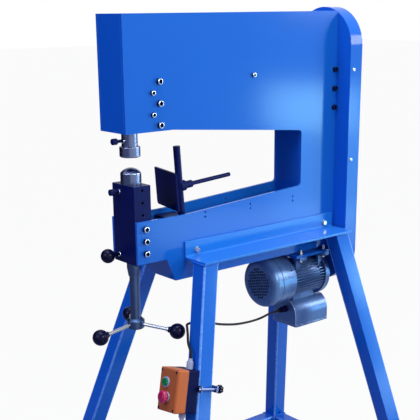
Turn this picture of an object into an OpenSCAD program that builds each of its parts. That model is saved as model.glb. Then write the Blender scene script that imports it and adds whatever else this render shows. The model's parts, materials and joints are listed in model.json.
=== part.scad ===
// Planishing hammer on a welded stand: a deep boxed frame carries an eccentric
// shaft that drives a short-stroke ram over an adjustable anvil post.
// X runs across the machine, Y from the operator to the rear guard, Z up.
// The origin is on the floor in the middle of the four feet.

/* [Frame] */
// Height of the upper arm's top edge above the floor
frame_top = 1690; // [1600:1:1800]
// Width over the two side plates
frame_w = 120; // [114:1:130]
// Thickness of each side plate
side_t = 8; // [6:1:10]
// Thickness of the plates welded between the side plates
web_t = 6; // [4:1:8]
// Distance from the middle of the stand forward to the head's face
head_reach = 432; // [420:1:450]
// Length of the frame from the head's face to its rear edge
frame_len = 787; // [770:1:800]
// Depth of the throat behind the head's face
throat_len = 640; // [610:1:660]
// Height of the upper arm at the head
head_h = 302; // [296:1:310]
// Length of the head's level underside
head_level = 154; // [140:1:170]
// Height of the upper arm where it meets the throat wall
arm_root_h = 345; // [335:1:352]
// Drop from the top edge to the lower arm's edge at the throat wall
root_drop = 514; // [508:1:522]
// Drop from the top edge to the lower arm's edge at the anvil
nose_drop = 540; // [534:1:546]
// Height of the lower arm's nose
nose_h = 118; // [110:1:126]
// Set-back of the lower arm's nose behind the head's face
nose_back = 25; // [20:1:30]
// Drop from the top edge to the underside of the belly
belly_drop = 725; // [715:1:735]
// Radius of the corners of the throat
throat_r = 10; // [6:1:14]

/* [Dies and ram] */
// Distance of the die axis behind the head's face
die_back = 52; // [50:1:56]
// Diameter of both dies
die_d = 57; // [50:1:60]
// Height of the upper die below the ram
upper_die_h = 29; // [24:1:32]
// Height of the lower die, crown included
lower_die_h = 44; // [38:1:48]
// Height of the lower die's crown
crown_h = 14; // [8:1:16]
// Diameter of the dies' shanks
shank_d = 20; // [16:1:22]
// Diameter of the ram
ram_d = 44; // [42:1:46]
// Length of ram that stands out of the head when the ram is up
ram_out = 40; // [36:1:44]
// Throw of the eccentric, half of the stroke
throw = 4; // [3:0.5:4.5]

/* [Drive] */
// Drop from the top edge to the main shaft's axis
shaft_drop = 172; // [168:1:176]
// Diameter of the main shaft
shaft_d = 30; // [28:1:32]
// Outer diameter of the shaft's bearings
bearing_d = 62; // [58:1:66]
// Width of each bearing
bearing_w = 16; // [14:1:18]
// Distance between the eccentric and the wrist pin
rod_len = 56; // [54:1:60]
// Outer diameter of the driven pulley
big_pulley_d = 140; // [120:1:160]
// Outer diameter of the motor's pulley
small_pulley_d = 50; // [48:1:51]
// Distance of the belt's middle behind the frame's rear edge
belt_back = 25; // [23:1:27]

/* [Anvil] */
// Height of the black anvil housing
block_h = 218; // [210:1:226]
// Depth of the anvil housing from front to back
block_d = 54; // [50:1:58]
// Drop from the top edge to the anvil housing's underside
block_drop = 662; // [658:1:666]
// Diameter of the adjusting screw
screw_d = 28; // [24:1:30]
// Drop from the top edge to the middle of the hand wheel's hub
hub_drop = 843; // [835:1:860]
// Radius from the hub to the middle of each ball
wheel_r = 125; // [115:1:135]
// Diameter of the hand wheel's balls
ball_d = 45; // [38:1:48]

/* [Stand] */
// Half the distance between the feet across the machine
foot_x = 360; // [340:1:380]
// Half the distance between the front and the rear feet
foot_y = 500; // [480:1:520]
// Half the distance between the legs across their tops
leg_top_x = 125; // [122:1:130]
// Distance of the side rails' front ends behind the head's face
rail_start = 184; // [178:1:190]
// Distance of the side rails' rear ends ahead of the frame's rear edge
rail_end = 11; // [5:1:20]
// Distance of the front legs' middles behind the rails' front ends
leg_inset_front = 25; // [18:1:33]
// Distance of the rear legs' middles ahead of the rails' rear ends
leg_inset_rear = 40; // [36:1:48]
// Width of the square leg tube
leg_w = 52; // [48:1:54]
// Wall of the square leg tube
leg_wall = 3; // [2:0.5:5]
// Width of each foot plate
foot_w = 120; // [110:1:130]
// Thickness of each foot plate
foot_t = 8; // [6:1:12]
// Diameter of the hole in each foot plate
foot_hole = 14; // [10:1:18]
// Height of the lower stretchers' top above the floor
stretcher_top = 204; // [180:1:240]
// Drop from the top edge to the underside of the side rails
rail_drop = 667; // [664:1:670]
// Height of the side rails' upright leg
rail_h = 50; // [46:1:54]
// Width of the side rails' level leg
rail_w = 95; // [92:1:100]
// Thickness of the side rails
rail_t = 6; // [5:1:8]

/* [Rear guard] */
// Width of the rear guard
guard_w = 232; // [220:1:240]
// Depth of the rear guard from front to back
guard_d = 50; // [48:1:54]
// Sheet thickness of the rear guard
guard_t = 2; // [1.5:0.5:3]
// Height of the guard's top above the frame's top edge
guard_over = 12; // [8:1:20]
// Drop from the top edge to the guard's lowest point
guard_drop = 851; // [850:1:860]

/* [Motor] */
// Drop from the top edge to the motor's axis
motor_drop = 820; // [819:1:822]
// Diameter of the motor's fan cover
motor_d = 157; // [150:1:160]
// Length of the motor from the fan cover to the drive end
motor_len = 261; // [255:1:264]
// Height of the motor's axis from its feet
motor_foot_h = 80; // [79:1:82]
// Width of the terminal box
terminal_w = 105; // [100:1:112]
// Length of the terminal box
terminal_len = 146; // [136:1:148]

/* [Control box] */
// Width of the control box
box_w = 77; // [70:1:84]
// Height of the control box
box_h = 118; // [112:1:124]
// Depth of the control box's dark base
box_base_d = 38; // [34:1:42]
// Depth of the control box's cover
box_cover_d = 37; // [33:1:41]
// Distance from the leg's top down to the middle of the box
box_down = 356; // [330:1:380]
// Diameter of the motor's lead
cable_d = 7; // [6:0.5:8]

/* [Hidden] */
$fn = 64;
// A cut runs this far past the face that it opens
past = 1;
// Radial clearance of a shaft that turns or slides in its bore
run = 0.05;
// Gap between pieces that pass each other closely
gap = 0.3;

paint = [0.10, 0.33, 0.80];
dark_paint = [0.05, 0.16, 0.55];
black_oxide = [0.07, 0.07, 0.12];
bright_steel = [0.72, 0.75, 0.80];
plain_steel = [0.52, 0.54, 0.57];
cast_metal = [0.45, 0.49, 0.56];
bronze = [0.70, 0.50, 0.25];
dark_rubber = [0.06, 0.06, 0.07];
pale_plastic = [0.72, 0.74, 0.80];

// Places along the frame, from the head's face back, and heights by their drop
function along(d) = d - head_reach;
function down(d) = frame_top - d;
inner_w = frame_w - 2 * side_t;
side_x = frame_w / 2;
die_y = along(die_back);
shaft_z = down(shaft_drop);
motor_z = down(motor_drop);
frame_rear = along(frame_len);
nose_level = 190;
nose_len = 98;
chin_len = 29;
nose_under = nose_drop + nose_h;
plate_outline = [
    [along(0), down(0)],
    [frame_rear, down(0)],
    [frame_rear, down(belly_drop)],
    [along(nose_back + nose_len + chin_len), down(belly_drop)],
    [along(nose_back + nose_len), down(nose_under)],
    [along(nose_back), down(nose_under)],
    [along(nose_back), down(nose_drop)],
    [along(nose_level), down(nose_drop)],
    [along(throat_len), down(root_drop)],
    [along(throat_len), down(arm_root_h)],
    [along(head_level), down(head_h)],
    [along(0), down(head_h)]];

// Screws in the sides of the frame
housing_pitch = 57;
housing_screw_y = along(110);
small_screw_y = along(88);
rear_screw_y = frame_rear - 11;
mid_y = (housing_screw_y + rear_screw_y) / 2;
large_screw = 10;
small_screw = 8;
block_pitch = 34;
block_screw_top = 561;
pair_places = [261, 433, 606];
pair_drop = nose_drop + 3.5;
pair_pitch = 13;
pair_hole = 6;

// A socket head cap screw that points out along +Z, its seat at the origin
module cap_screw(d, len) {
    head_d = 1.6 * d;
    difference() {
        union() {
            cylinder(d = head_d, h = d);
            translate([0, 0, -len]) cylinder(d = d, h = len + past);
        }
        translate([0, 0, 0.4 * d]) cylinder(d = 0.95 * d, h = d, $fn = 6);
    }
}

// Puts its children on the side of the frame, with +Z pointing out of it
module on_side(side, y, z) {
    translate([side * side_x, y, z]) rotate([0, side * 90, 0]) children();
}

// A flat outline drawn in Y and Z, given a thickness along X
module slab(x_low, thick) {
    translate([x_low, 0, 0]) rotate([90, 0, 90]) linear_extrude(thick) children();
}

module rounded(w, h, r) {
    square([w - 2 * r, h], center = true);
    square([w, h - 2 * r], center = true);
    for (x = [-1, 1], y = [-1, 1]) translate([x * (w / 2 - r), y * (h / 2 - r)]) circle(r);
}

// Rounds an inside corner; the turn says which way the corner opens
module corner_fill(at, turn, r) {
    translate(at) rotate(turn) difference() {
        translate([-past, -past]) square(r + past);
        translate([r, r]) circle(r);
    }
}

module side_screw_places() {
    for (k = [0 : 2]) {
        translate([housing_screw_y, shaft_z - k * housing_pitch]) children();
        translate([rear_screw_y, shaft_z - k * housing_pitch]) children();
        translate([die_y, down(block_screw_top) - k * block_pitch]) children();
    }
}

module small_screw_places() {
    for (k = [0.5, 1.5]) translate([small_screw_y, shaft_z - k * housing_pitch]) children();
    translate([mid_y, shaft_z]) children();
}

rail_front = along(rail_start);
rail_rear = along(frame_len - rail_end);
rail_len = rail_rear - rail_front;
rail_bolt_drop = 646;
rail_bolt_front = 40;
rail_bolt_rear = 36;
rail_bolts_y = [rail_front + rail_bolt_front, rail_rear - rail_bolt_rear];
rail_bolt_d = 10;

module side_plate() {
    difference() {
        union() {
            polygon(plate_outline);
            corner_fill([along(throat_len), down(arm_root_h)], 180, throat_r);
            corner_fill([along(throat_len), down(root_drop)], 90, throat_r);
        }
        side_screw_places() circle(d = large_screw + 2 * gap);
        small_screw_places() circle(d = small_screw + 2 * gap);
        for (y = rail_bolts_y) translate([y, down(rail_bolt_drop)]) circle(d = rail_bolt_d + 2 * gap);
        for (y = pair_places, k = [0, 1]) {
            translate([along(y), down(pair_drop + k * pair_pitch)]) circle(d = pair_hole, $fn = 24);
        }
    }
}

// Each plate carries a ledge inside the lower arm for the sheet stop's carriage
ledge = 12;
ledge_drop = 588;
ledge_start = along(nose_back + block_d) + 4;
module plate_with_ledge() {
    slab(inner_w / 2, side_t) side_plate();
    translate([inner_w / 2 - ledge, ledge_start, down(ledge_drop + ledge)]) {
        cube([ledge + past, along(throat_len) - ledge_start, ledge]);
    }
}

module side_plate_near() {
    color(paint) plate_with_ledge();
}

module side_plate_far() {
    color(paint) mirror([1, 0, 0]) plate_with_ledge();
}

// The plate that closes the head's face, between the side plates
module head_front_plate() {
    color(paint) translate([-inner_w / 2, along(0), down(head_h)]) {
        cube([inner_w, web_t, head_h]);
    }
}

// One folded plate that closes the top and the rear, with the shaft's opening
module back_plate() {
    low = down(belly_drop - web_t);
    color(paint) difference() {
        translate([-inner_w / 2, along(web_t), low]) {
            cube([inner_w, frame_len - web_t, down(0) - low]);
        }
        translate([-inner_w, along(0) - past, low - past]) {
            cube([2 * inner_w, frame_len - web_t + past, down(web_t) - low + past]);
        }
        translate([0, frame_rear - web_t - past, shaft_z]) rotate([-90, 0, 0]) {
            cylinder(d = shaft_d + 10, h = web_t + 2 * past);
        }
    }
}

// Underside of the upper arm, with the ram's hole, bent down into the throat wall
module arm_underside() {
    rise = arm_root_h - head_h;
    run_len = throat_len - head_level;
    wall_foot = root_drop + 60;
    outline = [
        [along(web_t), down(head_h)],
        [along(head_level), down(head_h)],
        [along(throat_len), down(arm_root_h)],
        [along(throat_len), down(wall_foot)],
        [along(throat_len + web_t), down(wall_foot)],
        [along(throat_len + web_t), down(arm_root_h - web_t)],
        [along(throat_len) - web_t * rise / run_len, down(arm_root_h - web_t)],
        [along(head_level), down(head_h - web_t)],
        [along(web_t), down(head_h - web_t)]];
    color(dark_paint) difference() {
        slab(-inner_w / 2, inner_w) polygon(outline);
        translate([0, die_y, down(head_h) - past]) {
            cylinder(d = ram_d + 8, h = web_t + 2 * past);
        }
    }
}

// One folded plate that closes the nose, the chin and the belly from below
module belly_plate() {
    nose_end = along(nose_back + nose_len);
    chin_end = along(nose_back + nose_len + chin_len);
    outline = [
        [along(nose_back + block_d) + gap, down(nose_under)],
        [nose_end, down(nose_under)],
        [chin_end, down(belly_drop)],
        [frame_rear, down(belly_drop)],
        [frame_rear, down(belly_drop - web_t)],
        [chin_end + web_t / 2, down(belly_drop - web_t)],
        [nose_end + web_t / 2, down(nose_under - web_t)],
        [along(nose_back + block_d) + gap, down(nose_under - web_t)]];
    color(dark_paint) difference() {
        slab(-inner_w / 2, inner_w) polygon(outline);
        plate_bolt_places() translate([0, 0, down(belly_drop) - past]) {
            cylinder(d = stud_d + 2 * gap, h = web_t + 2 * past);
        }
    }
}

// Ram guide and front bearing seat in one machined block
tower_front = die_y + 25;
tower_len = 52;
tower_rear = tower_front + tower_len;
guide_top = 246;
module head_housing() {
    color(cast_metal) difference() {
        union() {
            translate([-inner_w / 2, tower_front, down(head_h - web_t)]) {
                cube([inner_w, tower_rear - tower_front, head_h - web_t - 125]);
            }
            translate([-inner_w / 2, along(web_t) + 10, down(head_h - web_t)]) {
                cube([inner_w, tower_front - along(web_t) - 10 + past, head_h - web_t - guide_top]);
            }
        }
        translate([0, die_y, down(head_h)]) cylinder(d = bush_d + 2 * run, h = head_h - guide_top + past);
        translate([0, tower_front - past, shaft_z]) rotate([-90, 0, 0]) {
            cylinder(d = bearing_d, h = tower_rear - tower_front + 2 * past);
        }
        for (side = [-1, 1]) housing_holes(side);
    }
}

bush_d = ram_d + 12;
screw_reach = 24;
module housing_holes(side) {
    for (k = [0 : 2]) on_side(side, housing_screw_y, shaft_z - k * housing_pitch) {
        translate([0, 0, -screw_reach]) cylinder(d = large_screw + 2 * gap, h = screw_reach);
    }
    for (k = [0.5, 1.5]) on_side(side, small_screw_y, shaft_z - k * housing_pitch) {
        translate([0, 0, -screw_reach]) cylinder(d = small_screw + 2 * gap, h = screw_reach);
    }
}

module ram_bush() {
    color(bronze) translate([0, die_y, down(head_h - web_t)]) difference() {
        cylinder(d = bush_d, h = head_h - web_t - guide_top);
        translate([0, 0, -past]) cylinder(d = ram_d + 2 * run, h = head_h);
    }
}

// Two bored blocks that carry the shaft halfway along and at the rear
mid_h = 96;
mid_d = 40;
rear_block_d = 24;
module shaft_supports() {
    color(cast_metal) difference() {
        translate([-inner_w / 2, mid_y - mid_d / 2, shaft_z - mid_h / 2]) {
            cube([inner_w, mid_d, mid_h]);
        }
        translate([0, mid_y - mid_d, shaft_z]) rotate([-90, 0, 0]) {
            cylinder(d = bearing_d, h = 2 * mid_d);
        }
        for (side = [-1, 1]) on_side(side, mid_y, shaft_z) {
            translate([0, 0, -screw_reach]) cylinder(d = small_screw + 2 * gap, h = screw_reach);
        }
    }
    foot = 2 * housing_pitch + 20;
    color(cast_metal) difference() {
        translate([-inner_w / 2, frame_rear - web_t - rear_block_d, shaft_z - foot]) {
            cube([inner_w, rear_block_d, foot + 36]);
        }
        translate([0, frame_rear - web_t - rear_block_d - past, shaft_z]) rotate([-90, 0, 0]) {
            cylinder(d = bearing_d, h = rear_block_d + 2 * past);
        }
        for (side = [-1, 1], k = [0 : 2]) on_side(side, rear_screw_y, shaft_z - k * housing_pitch) {
            translate([0, 0, -screw_reach]) cylinder(d = large_screw + 2 * gap, h = screw_reach);
        }
    }
}

// Four sealed bearings: two in the head, one halfway and one at the rear
bearing_places = [tower_front + 6, tower_rear - 6 - bearing_w, mid_y - bearing_w / 2,
                  frame_rear - web_t - rear_block_d / 2 - bearing_w / 2];
module shaft_bearings() {
    ring = (bearing_d - shaft_d) / 6;
    color(bright_steel) for (y = bearing_places) {
        translate([0, y, shaft_z]) rotate([-90, 0, 0]) difference() {
            cylinder(d = bearing_d - 2 * run, h = bearing_w);
            translate([0, 0, -past]) cylinder(d = shaft_d + 2 * run, h = bearing_w + 2 * past);
            for (face = [-past, bearing_w - 1.5]) translate([0, 0, face]) difference() {
                cylinder(d = bearing_d - 2 * ring, h = 1.5 + past);
                translate([0, 0, -past]) cylinder(d = shaft_d + 2 * ring, h = 4 * past);
            }
        }
    }
}

module large_cap_screws() {
    color(bright_steel) for (side = [-1, 1], k = [0 : 2]) {
        on_side(side, housing_screw_y, shaft_z - k * housing_pitch) {
            cap_screw(large_screw, screw_reach);
        }
        on_side(side, rear_screw_y, shaft_z - k * housing_pitch) {
            cap_screw(large_screw, screw_reach);
        }
        on_side(side, die_y, down(block_screw_top) - k * block_pitch) {
            cap_screw(large_screw, screw_reach);
        }
    }
}

module small_cap_screws() {
    color(bright_steel) for (side = [-1, 1]) {
        for (k = [0.5, 1.5]) on_side(side, small_screw_y, shaft_z - k * housing_pitch) {
            cap_screw(small_screw, screw_reach - 2);
        }
        on_side(side, mid_y, shaft_z) cap_screw(small_screw, screw_reach - 2);
    }
}

// Black housing of the anvil post, bolted between the noses of the side plates
block_bottom = down(block_drop);
block_top = block_bottom + block_h;
post_w = 48;
post_d = 38;
block_floor = 22;
block_front = die_y - block_d / 2;
tapped_drop = 456;
thumb_x = -21;
thumb_drop = 465;
lock_x = -30;
lock_drop = 642;
thumb_d = 8;
module anvil_block() {
    color(black_oxide) difference() {
        translate([-inner_w / 2, block_front, block_bottom]) cube([inner_w, block_d, block_h]);
        translate([-post_w / 2 - gap, die_y - post_d / 2 - gap, block_bottom + block_floor]) {
            cube([post_w + 2 * gap, post_d + 2 * gap, block_h]);
        }
        translate([0, die_y, block_bottom - past]) {
            cylinder(d = screw_d + 2 * gap, h = block_floor + 2 * past);
        }
        for (side = [-1, 1], k = [0 : 2]) {
            on_side(side, die_y, down(block_screw_top) - k * block_pitch) {
                translate([0, 0, -screw_reach]) cylinder(d = large_screw + 2 * gap, h = screw_reach);
            }
            on_side(side, die_y, down(tapped_drop) - k * block_pitch) {
                translate([0, 0, -screw_reach]) cylinder(d = 8.5, h = screw_reach);
            }
        }
        translate([thumb_x, block_front - past, down(thumb_drop)]) rotate([-90, 0, 0]) {
            cylinder(d = thumb_d + 2 * run, h = block_d / 2 - post_d / 2 + 2 * past);
        }
        translate([lock_x, block_front - past, down(lock_drop)]) rotate([-90, 0, 0]) {
            cylinder(d = thumb_d + 2 * run, h = 20 + past);
        }
    }
}

// Bronze-faced nut under the anvil housing: a short collar that tapers to the screw
nut_h = 42;
module screw_nut() {
    color(plain_steel) translate([0, die_y, block_bottom - nut_h]) rotate_extrude() {
        polygon([
            [screw_d / 2 + run, 0],
            [screw_d / 2 + 2, 0],
            [screw_d / 2 + 6, nut_h - 18],
            [screw_d / 2 + 6, nut_h],
            [screw_d / 2 + run, nut_h]]);
    }
}

// The anvil post rides in its housing and carries the lower die
screw_end = block_bottom + 52;
post_top = block_top + gap;
module anvil_post() {
    color(plain_steel) difference() {
        translate([-post_w / 2, die_y - post_d / 2, screw_end + gap]) {
            cube([post_w, post_d, post_top - screw_end - gap]);
        }
        translate([0, die_y, post_top - 34]) cylinder(d = shank_d + 2 * run, h = 34 + past);
    }
}

// A die with a shank, its body upward from the origin
module lower_die() {
    crown_r = (pow(die_d / 2, 2) + pow(crown_h, 2)) / (2 * crown_h);
    color(bright_steel) translate([0, die_y, post_top]) {
        intersection() {
            cylinder(d = die_d, h = lower_die_h);
            translate([0, 0, lower_die_h - crown_r]) sphere(crown_r, $fn = 96);
        }
        translate([0, 0, -32]) cylinder(d = shank_d, h = 32 + past);
    }
}

// Ram, drawn up at the top of its stroke, forked at its head for the connecting rod
ram_bottom = down(head_h + ram_out);
pin_d = 12;
pin_z = shaft_z + throw - rod_len;
rod_t = 16;
fork_w = rod_t + 2;
slot_room = 2 * throw + 0.6;
module ram() {
    fork_bottom = pin_z - 21;
    ram_top = shaft_z - shaft_d / 2 - 14;
    color(bright_steel) translate([0, die_y, 0]) difference() {
        translate([0, 0, ram_bottom]) cylinder(d = ram_d, h = ram_top - ram_bottom);
        translate([-ram_d, -fork_w / 2, fork_bottom]) cube([2 * ram_d, fork_w, ram_top]);
        for (y = [-ram_d, 0]) {
            translate([-pin_d / 2 - throw - 0.6, y, pin_z - pin_d / 2 - slot_room]) {
                cube([pin_d + 2 * throw + 1.2, ram_d, pin_d + 2 * slot_room]);
            }
        }
        translate([0, 0, ram_bottom - past]) cylinder(d = shank_d + 2 * run, h = 34 + past);
        translate([0, 0, ram_bottom + thumb_up]) rotate([90, 0, 0]) {
            cylinder(d = thumb_d + 2 * run, h = ram_d);
        }
    }
}

thumb_up = 16;
module upper_die() {
    edge = 3;
    color(bright_steel) translate([0, die_y, ram_bottom]) {
        rotate_extrude() polygon([
            [0, -upper_die_h],
            [die_d / 2 - edge, -upper_die_h],
            [die_d / 2, -upper_die_h + edge],
            [die_d / 2, -1.5],
            [die_d / 2 - 1.5, 0],
            [0, 0]]);
        cylinder(d = shank_d, h = 32);
    }
}

// A hand screw along -Y: knurled knob, stem and tip, with its seat at the origin
module thumb_screw(knob_d, knob_len, stem, tip) {
    rotate([90, 0, 0]) {
        translate([0, 0, -tip]) cylinder(d = thumb_d, h = tip + stem + past);
        translate([0, 0, stem]) difference() {
            cylinder(d = knob_d, h = knob_len);
            for (a = [0 : 30 : 330]) rotate(a) translate([knob_d / 2 + 0.6, 0, -past]) {
                cylinder(d = 2.6, h = knob_len + 2 * past, $fn = 16);
            }
        }
    }
}

module upper_die_screw() {
    color(black_oxide) translate([0, die_y - ram_d / 2, ram_bottom + thumb_up]) {
        thumb_screw(17, 14, 20, ram_d / 2 - shank_d / 2 - gap);
    }
}

module block_thumb_screw() {
    color(black_oxide) translate([thumb_x, block_front, down(thumb_drop)]) {
        thumb_screw(18, 13, 16, block_d / 2 - post_d / 2 - 2 * gap);
        rotate([90, 0, 0]) translate([0, 0, gap]) cylinder(d = 13, h = 3);
    }
}

// Ball knob that pinches the adjusting screw in the foot of the anvil housing
lock_ball = 40;
module lock_knob() {
    color(black_oxide) translate([lock_x, block_front, down(lock_drop)]) {
        rotate([90, 0, 0]) {
            translate([0, 0, -18]) cylinder(d = thumb_d, h = 18 + 22);
            translate([0, 0, 10]) cylinder(d = 14, h = 14);
        }
        translate([0, -18 - lock_ball / 2, 0]) sphere(d = lock_ball, $fn = 64);
    }
}

// Adjusting screw with the hand wheel's hub at its foot
hub_d = 50;
hub_h = 30;
hub_z = down(hub_drop);
module adjusting_screw() {
    color(plain_steel) translate([0, die_y, 0]) difference() {
        union() {
            translate([0, 0, hub_z]) cylinder(d = screw_d, h = screw_end - hub_z);
            translate([0, 0, hub_z - hub_h / 2]) rotate_extrude() polygon([
                [0, 0],
                [hub_d / 2 - 4, 0],
                [hub_d / 2, 4],
                [hub_d / 2, hub_h - 6],
                [hub_d / 2 - 6, hub_h],
                [0, hub_h]]);
        }
        spoke_places() spoke_bar(run);
    }
}

spoke_turn = 33.3;
spoke_dip = 6.4;
spoke_d = 10;
module spoke_places() {
    for (k = [0 : 2]) {
        translate([0, 0, hub_z]) rotate([0, 0, spoke_turn + k * 120]) rotate([0, spoke_dip, 0]) {
            children();
        }
    }
}

module spoke_bar(slack) {
    translate([12 - slack, 0, 0]) rotate([0, 90, 0]) {
        cylinder(d = spoke_d + 2 * slack, h = wheel_r - 12 + 8 + 2 * slack);
    }
}

module wheel_spokes() {
    color(bright_steel) translate([0, die_y, 0]) spoke_places() spoke_bar(0);
}

module wheel_balls() {
    color(black_oxide) translate([0, die_y, 0]) spoke_places() difference() {
        union() {
            translate([wheel_r, 0, 0]) sphere(d = ball_d, $fn = 64);
            translate([wheel_r - ball_d / 2 - 3, 0, 0]) rotate([0, 90, 0]) cylinder(d = 18, h = 10);
        }
        spoke_bar(run);
    }
}

// Main shaft with its crank web and eccentric journal at the head
journal_d = 25;
web_front = die_y + rod_t / 2 + 1.5;
module main_shaft() {
    tail = frame_rear + belt_back + 16;
    color(plain_steel) translate([0, 0, shaft_z]) rotate([-90, 0, 0]) {
        translate([0, 0, web_front]) cylinder(d = 40, h = tower_front - 2 - web_front);
        translate([0, 0, tower_front - 3]) cylinder(d = shaft_d, h = tail - tower_front + 3);
        translate([0, -throw, die_y - rod_t / 2 - 1.5]) cylinder(d = journal_d, h = rod_t + 4);
    }
}

// Connecting rod, hanging straight down, with its wrist pin
module con_rod() {
    journal_z = shaft_z + throw;
    small_end = 22;
    color(cast_metal) translate([0, die_y, 0]) rotate([90, 0, 0]) translate([0, 0, -rod_t / 2]) {
        difference() {
            union() {
                translate([0, journal_z, 0]) cylinder(d = 44, h = rod_t);
                translate([0, pin_z, 0]) cylinder(d = small_end, h = rod_t);
                translate([-7, pin_z, 0]) cube([14, rod_len, rod_t]);
                translate([0, pin_z, rod_t / 2 - 18]) cylinder(d = pin_d, h = 36);
            }
            translate([0, journal_z, -past]) cylinder(d = journal_d + 2 * run, h = rod_t + 2 * past);
        }
    }
}

// Belt drive in the rear guard
groove = 8;
belt_w = 13;
belt_y = frame_rear + belt_back;
big_r = big_pulley_d / 2;
small_r = small_pulley_d / 2;
module pulley(r, bore, wide) {
    rotate([-90, 0, 0]) rotate_extrude() polygon([
        [bore / 2 + run, -wide / 2],
        [r, -wide / 2],
        [r, -belt_w / 2],
        [r - groove - 2, -belt_w / 2 + 1],
        [r - groove - 2, belt_w / 2 - 1],
        [r, belt_w / 2],
        [r, wide / 2],
        [bore / 2 + run, wide / 2]]);
}

module shaft_pulley() {
    color(cast_metal) translate([0, belt_y, shaft_z]) difference() {
        pulley(big_r, shaft_d, 22);
        for (a = [0 : 60 : 300]) rotate([0, a, 0]) translate([0, 0, big_r * 0.62]) {
            rotate([90, 0, 0]) cylinder(d = big_r * 0.3, h = 30, center = true);
        }
    }
}

module motor_pulley() {
    color(cast_metal) translate([0, belt_y, motor_z]) pulley(small_r, motor_shaft_d, 22);
}

// One loop of V-belt, drawn as its outer outline less its inner outline
module belt_loop(extra, half) {
    a = asin((big_r - small_r) / (shaft_z - motor_z));
    rb = big_r + extra;
    rs = small_r + extra;
    rotate([90, 0, 0]) linear_extrude(2 * half, center = true) {
        translate([0, shaft_z]) circle(rb, $fn = 96);
        translate([0, motor_z]) circle(rs, $fn = 64);
        polygon([
            [rb * cos(a), shaft_z - rb * sin(a)],
            [-rb * cos(a), shaft_z - rb * sin(a)],
            [-rs * cos(a), motor_z - rs * sin(a)],
            [rs * cos(a), motor_z - rs * sin(a)]]);
    }
}

module drive_belt() {
    color(dark_rubber) translate([0, belt_y, 0]) difference() {
        belt_loop(-1, belt_w / 2 - 1.4);
        belt_loop(-groove - 1, belt_w);
    }
}

// The guard's outline: a strip with two round ends
guard_r = guard_w / 2;
guard_high = down(-guard_over) - guard_r;
guard_low = down(guard_drop) + guard_r;
guard_front = frame_rear;
module guard_outline(inset) {
    translate([0, guard_high]) circle(guard_r - inset, $fn = 96);
    translate([0, guard_low]) circle(guard_r - inset, $fn = 96);
    translate([-guard_r + inset, guard_low]) square([guard_w - 2 * inset, guard_high - guard_low]);
}

module upright(y, thick) {
    translate([0, y + thick, 0]) rotate([90, 0, 0]) linear_extrude(thick) children();
}

// Back plate of the guard, with openings for the two shafts and a turned flange
guard_base_t = 3;
flange_d = 21;
module guard_base() {
    color(paint) difference() {
        upright(guard_front, flange_d) guard_outline(guard_t + gap);
        upright(guard_front + guard_base_t, guard_d) guard_outline(guard_t + gap + 2);
        translate([0, guard_front, shaft_z]) rotate([-90, 0, 0]) {
            cylinder(d = shaft_d + 10, h = 20, center = true);
        }
        translate([0, guard_front, motor_z]) rotate([-90, 0, 0]) {
            cylinder(d = motor_shaft_d + 14, h = 20, center = true);
        }
        guard_screw_places() translate([0, 0, -8]) cylinder(d = guard_screw_d + 2 * gap, h = 8);
    }
}

module guard_cover() {
    color(paint) difference() {
        upright(guard_front, guard_d) guard_outline(0);
        upright(guard_front - past, guard_d - guard_t + past) guard_outline(guard_t);
        guard_screw_places() {
            translate([0, 0, -8]) cylinder(d = guard_screw_d + 2 * gap, h = 16);
        }
    }
}

guard_screw_d = 5;
guard_screw_drops = [172, 445, 718];
module guard_screw_places() {
    for (side = [-1, 1], d = guard_screw_drops) {
        translate([side * guard_r, guard_front + 15, down(d)]) rotate([0, side * 90, 0]) children();
    }
}

module guard_screws() {
    color(bright_steel) guard_screw_places() difference() {
        union() {
            cylinder(d1 = 11, d2 = 7, h = 3);
            translate([0, 0, -7]) cylinder(d = guard_screw_d, h = 7 + past);
        }
        translate([0, 0, 1]) cylinder(d = 4, h = 4, $fn = 6);
    }
}

// Unequal angle rails bolted to the sides, level leg outward at the bottom
module side_rails() {
    color(paint) for (side = [-1, 1]) mirror([side < 0 ? 1 : 0, 0, 0]) difference() {
        translate([side_x, rail_front, down(rail_drop)]) union() {
            cube([rail_t, rail_len, rail_h]);
            cube([rail_w, rail_len, rail_t]);
            translate([rail_t, 0, rail_t]) rotate([-90, 0, 0]) mirror([0, 1, 0]) {
                linear_extrude(rail_len) corner_fill([0, 0], 0, 5);
            }
        }
        for (y = rail_bolts_y) translate([side_x - past, y, down(rail_bolt_drop)]) {
            rotate([0, 90, 0]) cylinder(d = rail_bolt_d + 2 * gap, h = rail_t + 2 * past);
        }
    }
}

module rail_bolts() {
    color(bright_steel) for (side = [-1, 1], y = rail_bolts_y) {
        on_side(side, y, down(rail_bolt_drop)) translate([0, 0, rail_t]) {
            cylinder(d = 18, h = 1.5);
            translate([0, 0, 1.5]) cylinder(d = 16, h = 6.5, $fn = 6);
            translate([0, 0, -rail_t - side_t - 10]) cylinder(d = rail_bolt_d, h = rail_t + side_t + 11);
            translate([0, 0, -rail_t - side_t - 8]) cylinder(d = 16, h = 8, $fn = 6);
        }
    }
}

// Legs: square tube that leans both ways, cut level at the rail and the foot
leg_top_z = down(rail_drop);
leg_foot_z = foot_t;
function leg_top(front) = front ? rail_front + leg_inset_front : rail_rear - leg_inset_rear;
function leg_foot(front) = front ? -foot_y : foot_y;
function leg_rise() = leg_top_z - leg_foot_z;
function lean_y(front) = atan((leg_foot(front) - leg_top(front)) / leg_rise());
function lean_x(front) = atan((foot_x - leg_top_x) / leg_rise() * cos(lean_y(front)));

// Puts its children on a near-side leg's axis, the leg running down along -Z
module on_leg(front) {
    translate([leg_top_x, leg_top(front), leg_top_z]) {
        rotate([lean_y(front), 0, 0]) rotate([0, -lean_x(front), 0]) children();
    }
}

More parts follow.
